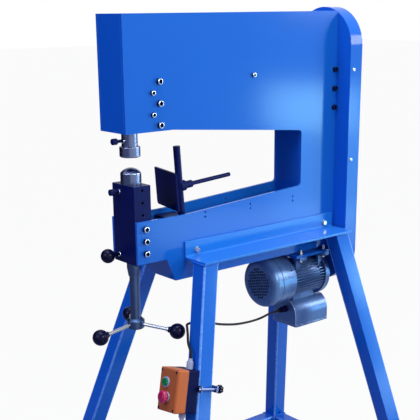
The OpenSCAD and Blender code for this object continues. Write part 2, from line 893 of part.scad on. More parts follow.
module leg(front) {
    long = leg_rise() * 1.3;
    difference() {
        intersection() {
            on_leg(front) translate([-leg_w / 2, -leg_w / 2, -long]) cube([leg_w, leg_w, long + 60]);
            translate([-2 * foot_x, -2 * foot_y, leg_foot_z]) {
                cube([4 * foot_x, 4 * foot_y, leg_rise()]);
            }
        }
        on_leg(front) translate([-leg_w / 2 + leg_wall, -leg_w / 2 + leg_wall, -long - 10]) {
            cube([leg_w - 2 * leg_wall, leg_w - 2 * leg_wall, long + 90]);
        }
        if (!front) on_leg(front) {
            translate([0, 0, -(leg_top_z - stretcher_top) * 1.02]) rotate([0, 90, 0]) {
                cylinder(d = 10, h = 2 * leg_w, center = true);
            }
        }
    }
}

module leg_pair(front) {
    for (side = [-1, 1]) mirror([side < 0 ? 1 : 0, 0, 0]) {
        leg(front);
        translate([foot_x, leg_foot(front), 0]) difference() {
            linear_extrude(foot_t) rounded(foot_w, foot_w, 8);
            for (x = [-1, 1]) translate([x * (foot_w / 2 - foot_hole), 0, -past]) {
                cylinder(d = foot_hole, h = foot_t + 2 * past);
            }
        }
    }
}

module front_legs() {
    color(paint) leg_pair(true);
}

module rear_legs() {
    color(paint) leg_pair(false);
}

// Where a leg's axis stands at a height, and half of its level width along Y
function leg_x(z) = leg_top_x + (foot_x - leg_top_x) * (leg_top_z - z) / leg_rise();
function leg_y(front, z) = leg_top(front)
    + (leg_foot(front) - leg_top(front)) * (leg_top_z - z) / leg_rise();

// Stretchers: two along the sides, cut to the legs' slopes, and one across the rear
module lower_stretchers() {
    z = stretcher_top - leg_w / 2;
    color(paint) {
        for (side = [-1, 1]) mirror([side < 0 ? 1 : 0, 0, 0]) difference() {
            translate([leg_x(z) - leg_w / 2, -foot_y, z - leg_w / 2]) {
                cube([leg_w, 2 * foot_y, leg_w]);
            }
            translate([leg_x(z) - leg_w / 2 + leg_wall, -foot_y - past, z - leg_w / 2 + leg_wall]) {
                cube([leg_w - 2 * leg_wall, 2 * foot_y + 2 * past, leg_w - 2 * leg_wall]);
            }
            on_leg(true) translate([-2 * leg_w, -5 * leg_w + leg_w / 2, -2000]) {
                cube([4 * leg_w, 5 * leg_w, 2200]);
            }
            on_leg(false) translate([-2 * leg_w, -leg_w / 2, -2000]) {
                cube([4 * leg_w, 5 * leg_w, 2200]);
            }
        }
        difference() {
            translate([-foot_x, leg_y(false, z) - leg_w / 2, z - leg_w / 2]) {
                cube([2 * foot_x, leg_w, leg_w]);
            }
            translate([-foot_x - past, leg_y(false, z) - leg_w / 2 + leg_wall, z - leg_w / 2 + leg_wall]) {
                cube([2 * foot_x + 2 * past, leg_w - 2 * leg_wall, leg_w - 2 * leg_wall]);
            }
            for (side = [-1, 1]) mirror([side < 0 ? 1 : 0, 0, 0]) {
                on_leg(false) translate([-leg_w / 2, -2 * leg_w, -2000]) cube([5 * leg_w, 4 * leg_w, 2200]);
            }
        }
    }
}

// Motor hanger: a plate under the belly on two strips
stud_d = 8;
foot_hole_x = 68.5;
motor_front = frame_rear - 5 - motor_len;
foot_pad_first = 117;
foot_pad_last = 10;
shield_depth = 39;
shield_front = frame_rear - shield_depth;
foot_pad_y = [motor_front + foot_pad_first, shield_front - foot_pad_last];
hanger_bolt_x = 30;
hanger_start = 88;
hanger_len = 158;
hanger_first = 12;
hanger_last = 14;
hanger_front = motor_front + hanger_start;
hanger_bolts_y = [hanger_front + hanger_first, hanger_front + hanger_len - hanger_last];
hanger_t = 8;
foot_z = motor_z + motor_foot_h;
module foot_places() {
    for (side = [-1, 1], y = foot_pad_y) translate([side * foot_hole_x, y, 0]) children();
}

module plate_bolt_places() {
    for (side = [-1, 1], y = hanger_bolts_y) translate([side * hanger_bolt_x, y, 0]) children();
}

module motor_plate() {
    strip_h = down(belly_drop) - foot_z - hanger_t;
    color(paint) difference() {
        union() {
            translate([-80, hanger_front, foot_z]) cube([160, hanger_len, hanger_t]);
            for (side = [-1, 1]) translate([side * 30 - 14, hanger_front, foot_z + hanger_t - past]) {
                cube([28, hanger_len, strip_h + past]);
            }
        }
        foot_places() cylinder(d = stud_d + 2 * gap, h = 2 * foot_z);
        plate_bolt_places() cylinder(d = stud_d + 2 * gap, h = 2 * foot_z);
    }
}

// Foot bolts outside the frame and hanger bolts inside it, each with its nut
module motor_studs() {
    color(bright_steel) {
        foot_places() translate([0, 0, foot_z - foot_pad_t]) {
            translate([0, 0, -5.5]) cylinder(d = 14, h = 5.5, $fn = 6);
            cylinder(d = stud_d, h = foot_pad_t + hanger_t + 14);
            translate([0, 0, foot_pad_t + hanger_t]) cylinder(d = 14, h = 7, $fn = 6);
        }
        plate_bolt_places() translate([0, 0, foot_z]) {
            translate([0, 0, -5]) cylinder(d = 14, h = 5, $fn = 6);
            cylinder(d = stud_d, h = 30);
            translate([0, 0, down(belly_drop - web_t) - foot_z]) cylinder(d = 14, h = 6.5, $fn = 6);
        }
    }
}

// Motor body: a bored stator housing with fins, feet on top and a rear-cover ring
motor_r = motor_d / 2;
core_r = 60;
bore_r = 42;
ring_front = motor_front + 53;
ring_end = motor_front + 95;
foot_pad_t = 11;
fin_count = 48;
module motor_body() {
    color(cast_metal) difference() {
        union() {
            along_motor(ring_front, ring_end) circle(motor_r - cover_t - gap, $fn = 96);
            along_motor(ring_end - past, shield_front) circle(core_r, $fn = 96);
            for (k = [0 : fin_count - 1]) {
                a = k * 360 / fin_count;
                if (sin(a) < 0.75 && sin(a) > -0.7) {
                    translate([0, ring_end - past, motor_z]) rotate([0, -a, 0]) {
                        translate([core_r - 3, 0, -1.2]) {
                            cube([14, shield_front - ring_end + past, 2.4]);
                        }
                    }
                }
            }
            for (side = [-1, 1], y = foot_pad_y) {
                translate([side * 63 - 17, y - 15, foot_z - foot_pad_t]) cube([34, 30, foot_pad_t]);
                translate([side * 51 - 5, y - 9, motor_z + 20]) {
                    cube([10, 18, motor_foot_h - foot_pad_t - 19]);
                }
            }
            translate([-24, terminal_front + 14, terminal_top]) {
                cube([48, shield_front - terminal_front - 16, motor_z - core_r + 6 - terminal_top]);
            }
        }
        along_motor(ring_front - past, ring_front + 12) circle(motor_r - 5);
        along_motor(ring_front, shield_front + past) circle(motor_shaft_d / 2 + run);
        along_motor(ring_front + 28, shield_front + past) circle(bore_r);
        foot_places() translate([0, 0, foot_z - foot_pad_t - past]) {
            cylinder(d = stud_d + 2 * gap, h = foot_pad_t + 2 * past);
        }
        for (a = [32, 152, 272]) translate([0, ring_end - 15, motor_z]) rotate([0, -a, 0]) {
            translate([motor_r - 6, 0, 0]) rotate([0, 90, 0]) cylinder(d = 4.5, h = 12, $fn = 24);
        }
    }
}

// A round or flat outline about the motor's axis, between two places along Y
module along_motor(y_front, y_rear) {
    translate([0, y_rear, motor_z]) rotate([90, 0, 0]) linear_extrude(y_rear - y_front) children();
}

motor_shaft_d = 19;
module motor_end_shield() {
    shield_rear = frame_rear - 5;
    color(cast_metal) difference() {
        union() {
            along_motor(shield_front, shield_front + 18) circle(motor_r - 3.5, $fn = 96);
            along_motor(shield_front + 17, shield_rear - 5) circle(58, $fn = 96);
            along_motor(shield_rear - 6, shield_rear) circle(32);
        }
        along_motor(shield_front - past, shield_rear + past) circle(motor_shaft_d / 2 + run);
        along_motor(shield_front - past, shield_front + 12) circle(bore_r);
    }
}

// Pressed fan cover with a grid of square holes in its face
cover_t = 1.5;
module fan_cover() {
    corner = 20;
    cover_len = ring_front - motor_front + 6;
    pitch = 9;
    hole = 5.6;
    color(cast_metal) difference() {
        translate([0, motor_front, motor_z]) rotate([-90, 0, 0]) rotate_extrude($fn = 96) {
            difference() {
                cover_profile(motor_r, corner, cover_len);
                translate([0, cover_t]) cover_profile(motor_r - cover_t, corner - cover_t, cover_len);
            }
        }
        along_motor(motor_front - past, motor_front + cover_t + past) rotate(14) {
            for (i = [-5 : 5], j = [-5 : 5]) {
                if (i * i + j * j < 29) {
                    translate([i * pitch - hole / 2, j * pitch - hole / 2]) square(hole);
                }
            }
        }
    }
}

module cover_profile(r, corner, len) {
    square([r - corner, len]);
    translate([0, corner]) square([r, len - corner]);
    translate([r - corner, corner]) circle(corner);
}

// Terminal box under the motor: an arched box on a neck, with a flanged lid
terminal_front = frame_rear - 151;
terminal_r = terminal_w / 2;
terminal_top = motor_z - 77;
lid_below = 154;
arch_below = 124;
lid_top = motor_z - lid_below;
module arch(inset, low) {
    arch_z = motor_z - arch_below;
    intersection() {
        union() {
            translate([0, arch_z]) circle(terminal_r - inset, $fn = 96);
            translate([inset - terminal_r, low]) square([terminal_w - 2 * inset, arch_z - low]);
        }
        translate([-terminal_w, low]) square([2 * terminal_w, terminal_top - inset - low]);
    }
}

module terminal_box() {
    color(cast_metal) difference() {
        upright(terminal_front, terminal_len) arch(0, lid_top);
        upright(terminal_front + 4, terminal_len - 8) arch(4, lid_top - past);
        translate([7, terminal_front - past, gland_z]) rotate([-90, 0, 0]) cylinder(d = 15, h = 8);
    }
}

module terminal_lid() {
    color(cast_metal) translate([0, terminal_front + terminal_len / 2, lid_top - 6]) {
        linear_extrude(6) rounded(terminal_w + 6, terminal_len + 2, 8);
    }
}

// A cable gland standing along +Z: neck, hexagon and dome, bored for its cable
module gland(neck_d, neck_len, hex_d, tall, bore_d) {
    difference() {
        union() {
            translate([0, 0, -neck_len]) cylinder(d = neck_d, h = neck_len + past);
            cylinder(d = hex_d, h = 5, $fn = 6);
            cylinder(d = hex_d * 0.84, h = tall * 0.75);
            cylinder(d = hex_d * 0.62, h = tall);
        }
        translate([0, 0, -neck_len - past]) cylinder(d = bore_d, h = neck_len + tall + 2 * past);
    }
}

gland_below = 106;
gland_z = motor_z - gland_below;
cable_bore = cable_d + 1;
module motor_gland() {
    color(black_oxide) translate([7, terminal_front, gland_z]) rotate([90, 0, 0]) {
        gland(14.4, 4, 22, 30, cable_bore);
    }
}

// Puts its children on the box: +X across, +Y up the leg, +Z out of the leg's front
box_side = 10.9;
box_turn = 5;
module on_box(up) {
    on_leg(true) translate([-box_side, -leg_w / 2, -box_down]) rotate([90, 0, 0]) {
        rotate(-box_turn) translate([0, 0, up]) children();
    }
}

module box_solid(w, h, deep, r) {
    linear_extrude(deep) rounded(w, h, r);
}

bracket_t = 3;
box_wall = 3;
gland_up = 15;
module box_base() {
    color(black_oxide) on_box(bracket_t) difference() {
        box_solid(box_w, box_h, box_base_d, 4);
        translate([0, 0, box_wall]) {
            box_solid(box_w - 2 * box_wall, box_h - 2 * box_wall, box_base_d, 2);
        }
        translate([7, 0, gland_up - bracket_t]) rotate([-90, 0, 0]) cylinder(d = 15, h = box_h);
        translate([3, 0, gland_up + 5 - bracket_t]) rotate([90, 0, 0]) cylinder(d = 15, h = box_h);
    }
}

// The cover's front edges are rounded by three outlines that cross
button_x = [-8, -2];
button_up = [21, -19];
cover_z = bracket_t + box_base_d;
module box_cover() {
    r = 6;
    color([0.76, 0.42, 0.20]) on_box(cover_z) difference() {
        intersection() {
            box_solid(box_w + 1, box_h + 1, box_cover_d, r);
            rotate([90, 0, 0]) translate([0, 0, -box_h]) linear_extrude(2 * box_h) {
                front_profile(box_w + 1, r);
            }
            rotate([90, 0, 90]) translate([0, 0, -box_h]) linear_extrude(2 * box_h) {
                front_profile(box_h + 1, r);
            }
        }
        translate([0, 0, -past]) {
            box_solid(box_w - 2 * box_wall, box_h - 2 * box_wall, box_cover_d - box_wall + past, 4);
        }
        for (k = [0, 1]) translate([button_x[k], button_up[k], 0]) cylinder(d = collar_d + 2 * gap, h = 2 * box_cover_d);
    }
}

module front_profile(w, r) {
    translate([-w / 2, 0]) square([w, box_cover_d - r]);
    translate([r - w / 2, 0]) square([w - 2 * r, box_cover_d]);
    for (side = [-1, 1]) translate([side * (w / 2 - r), box_cover_d - r]) circle(r);
}

// Threaded collars of the two buttons, each with a rim outside the cover
face_z = cover_z + box_cover_d;
plunger_d = 17;
collar_d = 22.4;
module button_bezels() {
    color(pale_plastic) for (k = [0, 1]) {
        on_box(face_z) translate([button_x[k], button_up[k], 0]) difference() {
            union() {
                translate([0, 0, -14]) cylinder(d = collar_d, h = 14 + past);
                cylinder(d = 29, h = 4);
                translate([0, 0, -box_wall - 6]) cylinder(d = 28, h = 6, $fn = 6);
            }
            translate([0, 0, -14 - past]) cylinder(d = plunger_d + 2 * run, h = 20);
            translate([0, 0, 1]) cylinder(d = 21.6, h = 4);
        }
    }
}

module start_button() {
    color([0.10, 0.62, 0.30]) on_box(face_z) translate([button_x[0], button_up[0], 0]) {
        translate([0, 0, 4.2]) cylinder(d = 21, h = 4);
        translate([0, 0, -18]) cylinder(d = plunger_d, h = 23);
    }
}

module mushroom_button() {
    color([0.80, 0.08, 0.25]) on_box(face_z) translate([button_x[1], button_up[1], 0]) {
        translate([0, 0, -18]) cylinder(d = plunger_d, h = 30);
        rotate_extrude() polygon([
            [0, 8],
            [15, 8],
            [18, 10.5],
            [18, 14],
            [15.5, 18],
            [10, 20.5],
            [0, 21.5]]);
    }
}

module box_glands() {
    color(pale_plastic) {
        on_box(gland_up) translate([7, box_h / 2, 0]) rotate([-90, 0, 0]) {
            gland(14.4, box_wall + 4, 20, 29, cable_bore);
        }
        on_box(gland_up + 5) translate([3, -box_h / 2, 0]) rotate([90, 0, 0]) {
            gland(14.4, box_wall + 4, 20, 24, cable_bore);
        }
    }
}

// Clamp round the leg: a bar in front, a bar behind and two studs
clamp_x = [-21.5, 45.5];
clamp_up = 9;
clamp_bar = 6;
clamp_back = leg_w + clamp_bar;
module box_clamp() {
    clamp_len = clamp_x[1] - clamp_x[0] + 16;
    color(plain_steel) on_box(0) {
        translate([clamp_x[0] - 8, clamp_up - 9, 0]) cube([clamp_len, 18, bracket_t]);
        translate([clamp_x[0] - 8, clamp_up - 9, -clamp_back]) cube([clamp_len, 18, clamp_bar]);
        for (x = clamp_x) translate([x, clamp_up, -clamp_back - 15]) {
            cylinder(d = 8, h = clamp_back + 15 + bracket_t);
        }
        translate([clamp_x[1], clamp_up, 0]) cylinder(d = 13, h = 8, $fn = 6);
        translate([clamp_x[0], clamp_up, -clamp_back - 6]) cylinder(d = 14, h = 7, $fn = 6);
    }
}

module clamp_knob() {
    color(black_oxide) on_box(-clamp_back - 0.5) translate([clamp_x[1], clamp_up, 0]) difference() {
        union() {
            translate([0, 0, -16]) cylinder(d = 14, h = 16);
            translate([0, 0, -16]) cylinder(d = 24, h = 11);
        }
        for (a = [0 : 60 : 300]) rotate(a) translate([14.5, 0, -20]) cylinder(d = 9, h = 30, $fn = 24);
        translate([0, 0, -14.6]) cylinder(d = 8 + 2 * run, h = 20);
    }
}

// Motor shaft with its rotor, and the fan behind the perforated cover
module motor_shaft() {
    color(plain_steel) {
        along_motor(motor_front + 20, belt_y + 14) circle(d = motor_shaft_d);
        along_motor(ring_end + 8, shield_front - 6) circle(bore_r - 1.5);
    }
}

module motor_fan() {
    color(dark_rubber) translate([0, motor_front + 24, motor_z]) rotate([-90, 0, 0]) difference() {
        union() {
            cylinder(d = 34, h = 20);
            translate([0, 0, 18]) cylinder(d = 120, h = 2);
            for (a = [0 : 45 : 315]) rotate(a) translate([14, -1, 0]) cube([46, 2, 19]);
        }
        translate([0, 0, -past]) cylinder(d = motor_shaft_d + 2 * run, h = 20 + 2 * past);
    }
}

// Sheet stop: a carriage on the ledges, a leaning post with its plate, and a locking rod
post_x = 33;
stop_back = 198;
stop_y = along(stop_back);
post_len = 203;
stop_z = down(ledge_drop);
stop_post_d = 20;
lean = 4;
carriage_h = 34;
carriage_front = 34;
carriage_len = 70;
module on_post() {
    translate([post_x, stop_y, stop_z + carriage_h]) rotate([lean, 0, 0]) children();
}

module stop_carriage() {
    carriage_w = inner_w - 1;
    color(black_oxide) difference() {
        translate([-carriage_w / 2, stop_y - carriage_front, stop_z]) {
            cube([carriage_w, carriage_len, carriage_h]);
        }
        on_post() translate([0, 0, -carriage_h + 6 - gap]) {
            cylinder(d = stop_post_d + 2 * run, h = 2 * carriage_h);
        }
    }
}

stop_yaw = 10;
plate_low = 21;
plate_high = 129;
plate_len = 132;
hub_up = 90;
module stop_post() {
    corner = 9;
    color(black_oxide) on_post() {
        translate([0, 0, -carriage_h + 6]) cylinder(d = stop_post_d, h = post_len + carriage_h - 6);
        rotate(-stop_yaw) translate([10 - plate_len, -9, plate_low]) rotate([90, 0, 0]) {
            linear_extrude(6) {
                translate([corner, 0]) square([plate_len - corner, plate_high - plate_low]);
                translate([0, corner]) square([corner + past, plate_high - plate_low - corner]);
                translate([corner, corner]) circle(corner);
            }
        }
        translate([0, 0, hub_up]) rotate([-90, 0, 0]) difference() {
            union() {
                cylinder(d = 30, h = 17);
                cylinder(d = 21, h = 42);
            }
            translate([0, 0, 12]) cylinder(d = rod_d + 2 * run, h = 40);
        }
    }
}

rod_d = 12;
module stop_handle() {
    color(black_oxide) on_post() translate([0, 0, hub_up]) rotate([-90, 0, 0]) {
        translate([0, 0, 14]) cylinder(d = rod_d, h = 169);
    }
}

// The motor's lead hangs in the stand and turns down the front leg to the box
CABLE = [
    [7, 188, 764], [7, 170, 764], [12, 148, 766], [25, 110, 770], [36, 76, 771],
    [46, 40, 773], [62, -19, 781], [75, -82, 793], [96, -160, 818], [113, -206, 842],
    [126, -237, 856], [130, -262, 858], [132, -283, 859], [134, -300, 858],
    [142, -306, 851], [149, -310, 835], [159, -317, 816], [172, -322, 804],
    [182, -325.5, 797], [186, -329.2, 789.5], [187.5, -331.8, 780], [190, -336.7, 762]];
cable_sides = 10;
cable_steps = 3;
function bend(a, b, c, d, t) = 0.5 * (2 * b + (c - a) * t + (2 * a - 5 * b + 4 * c - d) * t * t
    + (3 * b - a - 3 * c + d) * t * t * t);
function clamp_at(list, i) = list[max(0, min(len(list) - 1, i))];
cable_line = [for (i = [0 : len(CABLE) - 2], k = [0 : cable_steps - 1])
    bend(clamp_at(CABLE, i - 1), CABLE[i], CABLE[i + 1], clamp_at(CABLE, i + 2), k / cable_steps),
    CABLE[len(CABLE) - 1]];
module tube_along(line, r) {
    n = len(line);
    rings = [for (i = [0 : n - 1])
        let (way = clamp_at(line, i + 1) - clamp_at(line, i - 1),
             s = cross(way, [1, 0, 0]),
             side = s / norm(s),
             t = cross(way, side),
             top = t / norm(t))
        for (k = [0 : cable_sides - 1])
            let (a = 360 * k / cable_sides)
            line[i] + r * (cos(a) * side + sin(a) * top)];
    walls = [for (i = [0 : n - 2], k = [0 : cable_sides - 1])
        let (m = (k + 1) % cable_sides)
        [i * cable_sides + k, i * cable_sides + m, (i + 1) * cable_sides + m, (i + 1) * cable_sides + k]];
    first = [[for (k = [cable_sides - 1 : -1 : 0]) k]];
    last = [[for (k = [0 : cable_sides - 1]) (n - 1) * cable_sides + k]];
    polyhedron(rings, concat(walls, first, last), convexity = 10);
}

module motor_cable() {
    color(dark_rubber) tube_along(cable_line, cable_d / 2);
}

side_plate_near();
side_plate_far();
head_front_plate();
back_plate();
arm_underside();
belly_plate();
head_housing();
ram_bush();
shaft_supports();
shaft_bearings();
large_cap_screws();
small_cap_screws();
anvil_block();
screw_nut();
guard_base();
guard_cover();
guard_screws();
drive_belt();
side_rails();
rail_bolts();
front_legs();
rear_legs();
lower_stretchers();
motor_plate();
motor_studs();
motor_body();
motor_end_shield();
fan_cover();
terminal_box();
terminal_lid();
motor_gland();
box_base();
box_cover();
button_bezels();
box_glands();
box_clamp();
main_shaft();
shaft_pulley();
motor_shaft();
motor_fan();
motor_pulley();
con_rod();
ram();
upper_die();
upper_die_screw();
anvil_post();
lower_die();
adjusting_screw();
wheel_spokes();
wheel_balls();
block_thumb_screw();
lock_knob();
stop_carriage();
stop_post();
stop_handle();
start_button();
mushroom_button();
clamp_knob();
motor_cable();
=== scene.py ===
# %% [markdown]
# # A planishing hammer on its welded stand
# The machine has a deep boxed frame with a throat for sheet metal. A motor under its belly
# drives an eccentric, and the eccentric works the upper die. The anvil post below is set with
# a three-ball hand wheel. The exact solids are packed already. Here they get soft edges,
# small fittings, a lead, finishes and light, and nothing is moved from where the solids are.

# %% Load the fixed solids
import json
import math
import bmesh
import bpy
from mathutils import Euler, Matrix, Vector


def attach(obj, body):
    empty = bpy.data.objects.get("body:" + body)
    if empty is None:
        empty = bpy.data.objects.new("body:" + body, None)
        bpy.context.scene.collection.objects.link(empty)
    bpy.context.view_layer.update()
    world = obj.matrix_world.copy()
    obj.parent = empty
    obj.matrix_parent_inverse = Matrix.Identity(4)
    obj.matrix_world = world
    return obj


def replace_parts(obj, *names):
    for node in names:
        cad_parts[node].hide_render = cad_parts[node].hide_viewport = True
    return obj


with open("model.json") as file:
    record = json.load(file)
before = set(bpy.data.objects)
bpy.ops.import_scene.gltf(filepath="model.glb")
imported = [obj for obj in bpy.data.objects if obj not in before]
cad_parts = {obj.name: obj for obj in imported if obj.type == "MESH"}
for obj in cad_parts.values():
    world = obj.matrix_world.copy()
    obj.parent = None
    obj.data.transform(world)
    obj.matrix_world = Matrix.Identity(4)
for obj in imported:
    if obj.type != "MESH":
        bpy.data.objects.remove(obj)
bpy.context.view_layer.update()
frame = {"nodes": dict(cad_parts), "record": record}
MM = 0.001
bodies = frame["record"]["behaviour"]["bodies"]
body_of = {node: body for body, nodes in bodies.items() for node in nodes}

# %% [markdown]
# ## The camera
# A long lens stood ahead of the machine's near side, a little above the dies. The picture's
# optical axis lies low in its frame, so the lens has an upward shift, as a shop camera has
# when its back is kept nearly upright.

# %% The camera
STANDPOINT = (2.0276, -1.7575, 1.6934)
PICTURE_PIXELS, LENS_PIXELS, SENSOR_MM = 420, 908.92, 36
turn, rise, roll = (math.radians(angle) for angle in (50.96, 16.533, -0.639))
back = Vector((math.sin(turn) * math.cos(rise), -math.cos(turn) * math.cos(rise), math.sin(rise)))
level = (-back).cross(Vector((0, 0, 1))).normalized()
above = level.cross(-back)
across = level * math.cos(roll) + above * math.sin(roll)
upward = above * math.cos(roll) - level * math.sin(roll)
lens = bpy.data.cameras.new("camera")
lens.sensor_width = SENSOR_MM
lens.lens = LENS_PIXELS * SENSOR_MM / PICTURE_PIXELS
lens.shift_x, lens.shift_y = 0.0037, 0.1686
lens.clip_end = 100
camera = bpy.data.objects.new("camera", lens)
camera.matrix_world = (Matrix.Translation(STANDPOINT)
                       @ Matrix((across, upward, back)).transposed().to_4x4())
bpy.context.collection.objects.link(camera)
bpy.context.scene.camera = camera
bpy.context.scene.view_settings.view_transform = "Standard"
print("lens", round(lens.lens, 1), "mm")

# %% [markdown]
# ## Pieces and where they ride
# Every piece is a mesh whose place is in its own points. It rides on the body of the solid
# that it dresses and takes one finish, which is the finish named for its slot unless another
# is given.

# %% Pieces
finishes = {}


def piece(name, data, body, slot, finish_name=None):
    thing = bpy.data.objects.new(name, data)
    bpy.context.collection.objects.link(thing)
    data.materials.clear()
    data.materials.append(finishes[finish_name or slot])
    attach(thing, body)
    return thing


# %% [markdown]
# ## Writing materials and node trees as sums
# A material is a drawing of nodes. Writing it by hand takes a line for each wire, so one
# small class wraps a socket and lets `+` and `*` add the Math nodes. Every other node comes
# from one method that sets the node's type and settings first and its sockets after.

# %% A socket that can be added and multiplied
class Value:
    def __init__(self, sheet, socket):
        self.sheet, self.socket = sheet, socket

    def with_math(self, operation, other):
        return self.sheet.add("ShaderNodeMath", {"operation": operation}, {0: self, 1: other})[0]

    def __add__(self, other):
        return self.with_math("ADD", other)

    def __mul__(self, other):
        return self.with_math("MULTIPLY", other)

    __radd__, __rmul__ = __add__, __mul__


class Sheet:
    """A node tree that is written node by node."""

    def __init__(self, tree):
        self.tree = tree
        self.tree.nodes.clear()

    def add(self, kind, settings=None, inputs=None):
        node = self.tree.nodes.new(kind)
        for key, setting in (settings or {}).items():
            setattr(node, key, setting)
        for key, value in (inputs or {}).items():
            if isinstance(value, Value):
                self.tree.links.new(value.socket, node.inputs[key])
            else:
                node.inputs[key].default_value = value
        return [Value(self, socket) for socket in node.outputs]


# %% [markdown]
# ## One recipe for every finish
# Paint, oxide, turned steel and plastic differ in a few things only: the colour and how it
# drifts over a hand's width, the fine grain and how deep it is, tool rings, and the colour of
# the narrow edge faces. That edge colour is wear on some finishes, a painted highlight on
# others, and painted shade on the fan cover. So one recipe takes these as numbers in
# millimetres. The edge faces are found by a mark that the edge-softening step leaves on them.

# %% The recipe
OBJECT_PLACE = 3        # which output of the Texture Coordinate node
SCUFF_MM = 9
GLOSS_SPREAD = 0.25
DUST = (0.55, 0.56, 0.6)


def blend(sheet, share, first, second):
    """A mix of two colours. A colour mix has its share in socket 0, its colours in 6 and 7."""
    shades = {0: share, 6: first, 7: second}
    shades = {key: (*shade, 1) if isinstance(shade, tuple) else shade
              for key, shade in shades.items()}
    return sheet.add("ShaderNodeMix", {"data_type": "RGBA"}, shades)[2]


def noise(sheet, place, size_mm, detail=2.0):
    inputs = {"Vector": place, "Scale": 1 / (size_mm * MM), "Detail": detail}
    return sheet.add("ShaderNodeTexNoise", {"noise_dimensions": "3D"}, inputs)[0]


def linear(code):
    """A colour from its screen code, in the linear values that a shader takes."""
    parts = [int(code[k:k + 2], 16) / 255 for k in (0, 2, 4)]
    return tuple(v / 12.92 if v < 0.04045 else ((v + 0.055) / 1.055) ** 2.4 for v in parts)


def finish(name, code, rough, metal=0.0, drift=0.1, drift_mm=60, grain_mm=1.0, grain_depth=0.01,
           rings=None, ring_mm=1.0, ring_depth=0.004, edge_wear_and_painted_light=None, edge_wear_and_painted_light_share=0.5, mirror=0.5,
           dust=0.0):
    material = bpy.data.materials.new(name)
    material.use_nodes = True
    sheet = Sheet(material.node_tree)
    place = sheet.add("ShaderNodeTexCoord")[OBJECT_PLACE]
    broad = noise(sheet, place, drift_mm, 3.0)
    fine = noise(sheet, place, grain_mm)
    scuff = noise(sheet, place, SCUFF_MM, 5.0)
    deep, light = (tuple(v * share for v in linear(code)) for share in (1 - drift, 1 + drift))
    tint = blend(sheet, broad, deep, light)
    swing = (broad * 0.5 + fine * 0.5) * (2 * rough * GLOSS_SPREAD)
    gloss = rough * (1 - GLOSS_SPREAD) + swing
    height = fine
    if rings:
        settings = {"wave_type": "BANDS", "bands_direction": rings}
        inputs = {"Vector": place, "Scale": 0.314 / (ring_mm * MM), "Distortion": 0.6,
                  "Detail": 1.0, "Detail Scale": 0.4}
        groove = sheet.add("ShaderNodeTexWave", settings, inputs)[1]
        tint = blend(sheet, groove * 0.16, tint, deep)
        gloss = gloss + groove * (0.25 * rough)
        height = fine * 0.4 + groove * (ring_depth / grain_depth)
    if edge_wear_and_painted_light:
        # Edge colour on the marked faces: wear on some finishes, painted highlight on the paint
        # and motor, painted shade on the fan cover.
        mark = sheet.add("ShaderNodeAttribute", {"attribute_name": "edge"})[2]
        edge_wear_and_painted_light_mask = mark * (scuff * 1.6 + (edge_wear_and_painted_light_share - 0.8))
        edge_wear_and_painted_light_mask = edge_wear_and_painted_light_mask.with_math("MAXIMUM", 0.0).with_math("MINIMUM", 1.0)
        tint = blend(sheet, edge_wear_and_painted_light_mask, tint, linear(edge_wear_and_painted_light))
    if dust:
        normal = sheet.add("ShaderNodeNewGeometry")[1]
        facing_up = sheet.add("ShaderNodeSeparateXYZ", None, {0: normal})[2]
        settled = facing_up.with_math("MAXIMUM", 0.0) * scuff * dust
        tint = blend(sheet, settled, tint, DUST)
        gloss = gloss + settled * 0.6
    bump = sheet.add("ShaderNodeBump", None, {"Strength": 1.0, "Distance": grain_depth * MM,
                                              "Height": height})[0]
    surface = sheet.add("ShaderNodeBsdfPrincipled", None, {
        "Base Color": tint, "Roughness": gloss, "Metallic": metal, "Normal": bump,
        "Specular IOR Level": mirror})[0]
    sheet.add("ShaderNodeOutputMaterial", None, {0: surface})
    finishes[name] = material


# %% [markdown]
# ## The finishes of this machine
# Glossy blue enamel covers all the welded plate; its pale edges are partly thin paint and
# partly painted highlight. The rails take a lighter copy of the enamel with near-white edges,
# which is painted light on their faces and edges. The anvil housing and the sheet stop are
# chemically blackened, which leaves a deep blue-black with steel showing where the corners
# wear. The dies are hard chrome over a turned body, coloured dark blue-grey as painted
# reflection. The fasteners are bright zinc, the adjusting screw a plain turned bar with a
# film of oil, and the motor silver lacquer over castings, tinted blue as painted reflection
# of the frame, with painted highlights on its edges and painted shade in the fan cover's holes.

# %% The finishes
# The pale edge colour is partly thin paint at the edges and partly a painted highlight along
# them.
finish("blue_paint", "1562c8", 0.13, drift=0.04, drift_mm=220, grain_mm=2.6, grain_depth=0.006,
       edge_wear_and_painted_light="74a8f4", edge_wear_and_painted_light_share=0.75, mirror=0.16, dust=0.03)
# The rails' lighter base is painted light on their faces, and the near-white edges are painted
# highlights.
finish("rail_blue", "1c76d4", 0.2, drift=0.05, drift_mm=160, grain_mm=2.6, grain_depth=0.006,
       edge_wear_and_painted_light="b8e0ff", edge_wear_and_painted_light_share=1.1, mirror=0.2, dust=0.05)
finish("anvil_black", "0a1650", 0.36, drift=0.25, drift_mm=35, grain_mm=0.7,
       grain_depth=0.006, edge_wear_and_painted_light="56608c", edge_wear_and_painted_light_share=0.45, mirror=0.08, dust=0.02)
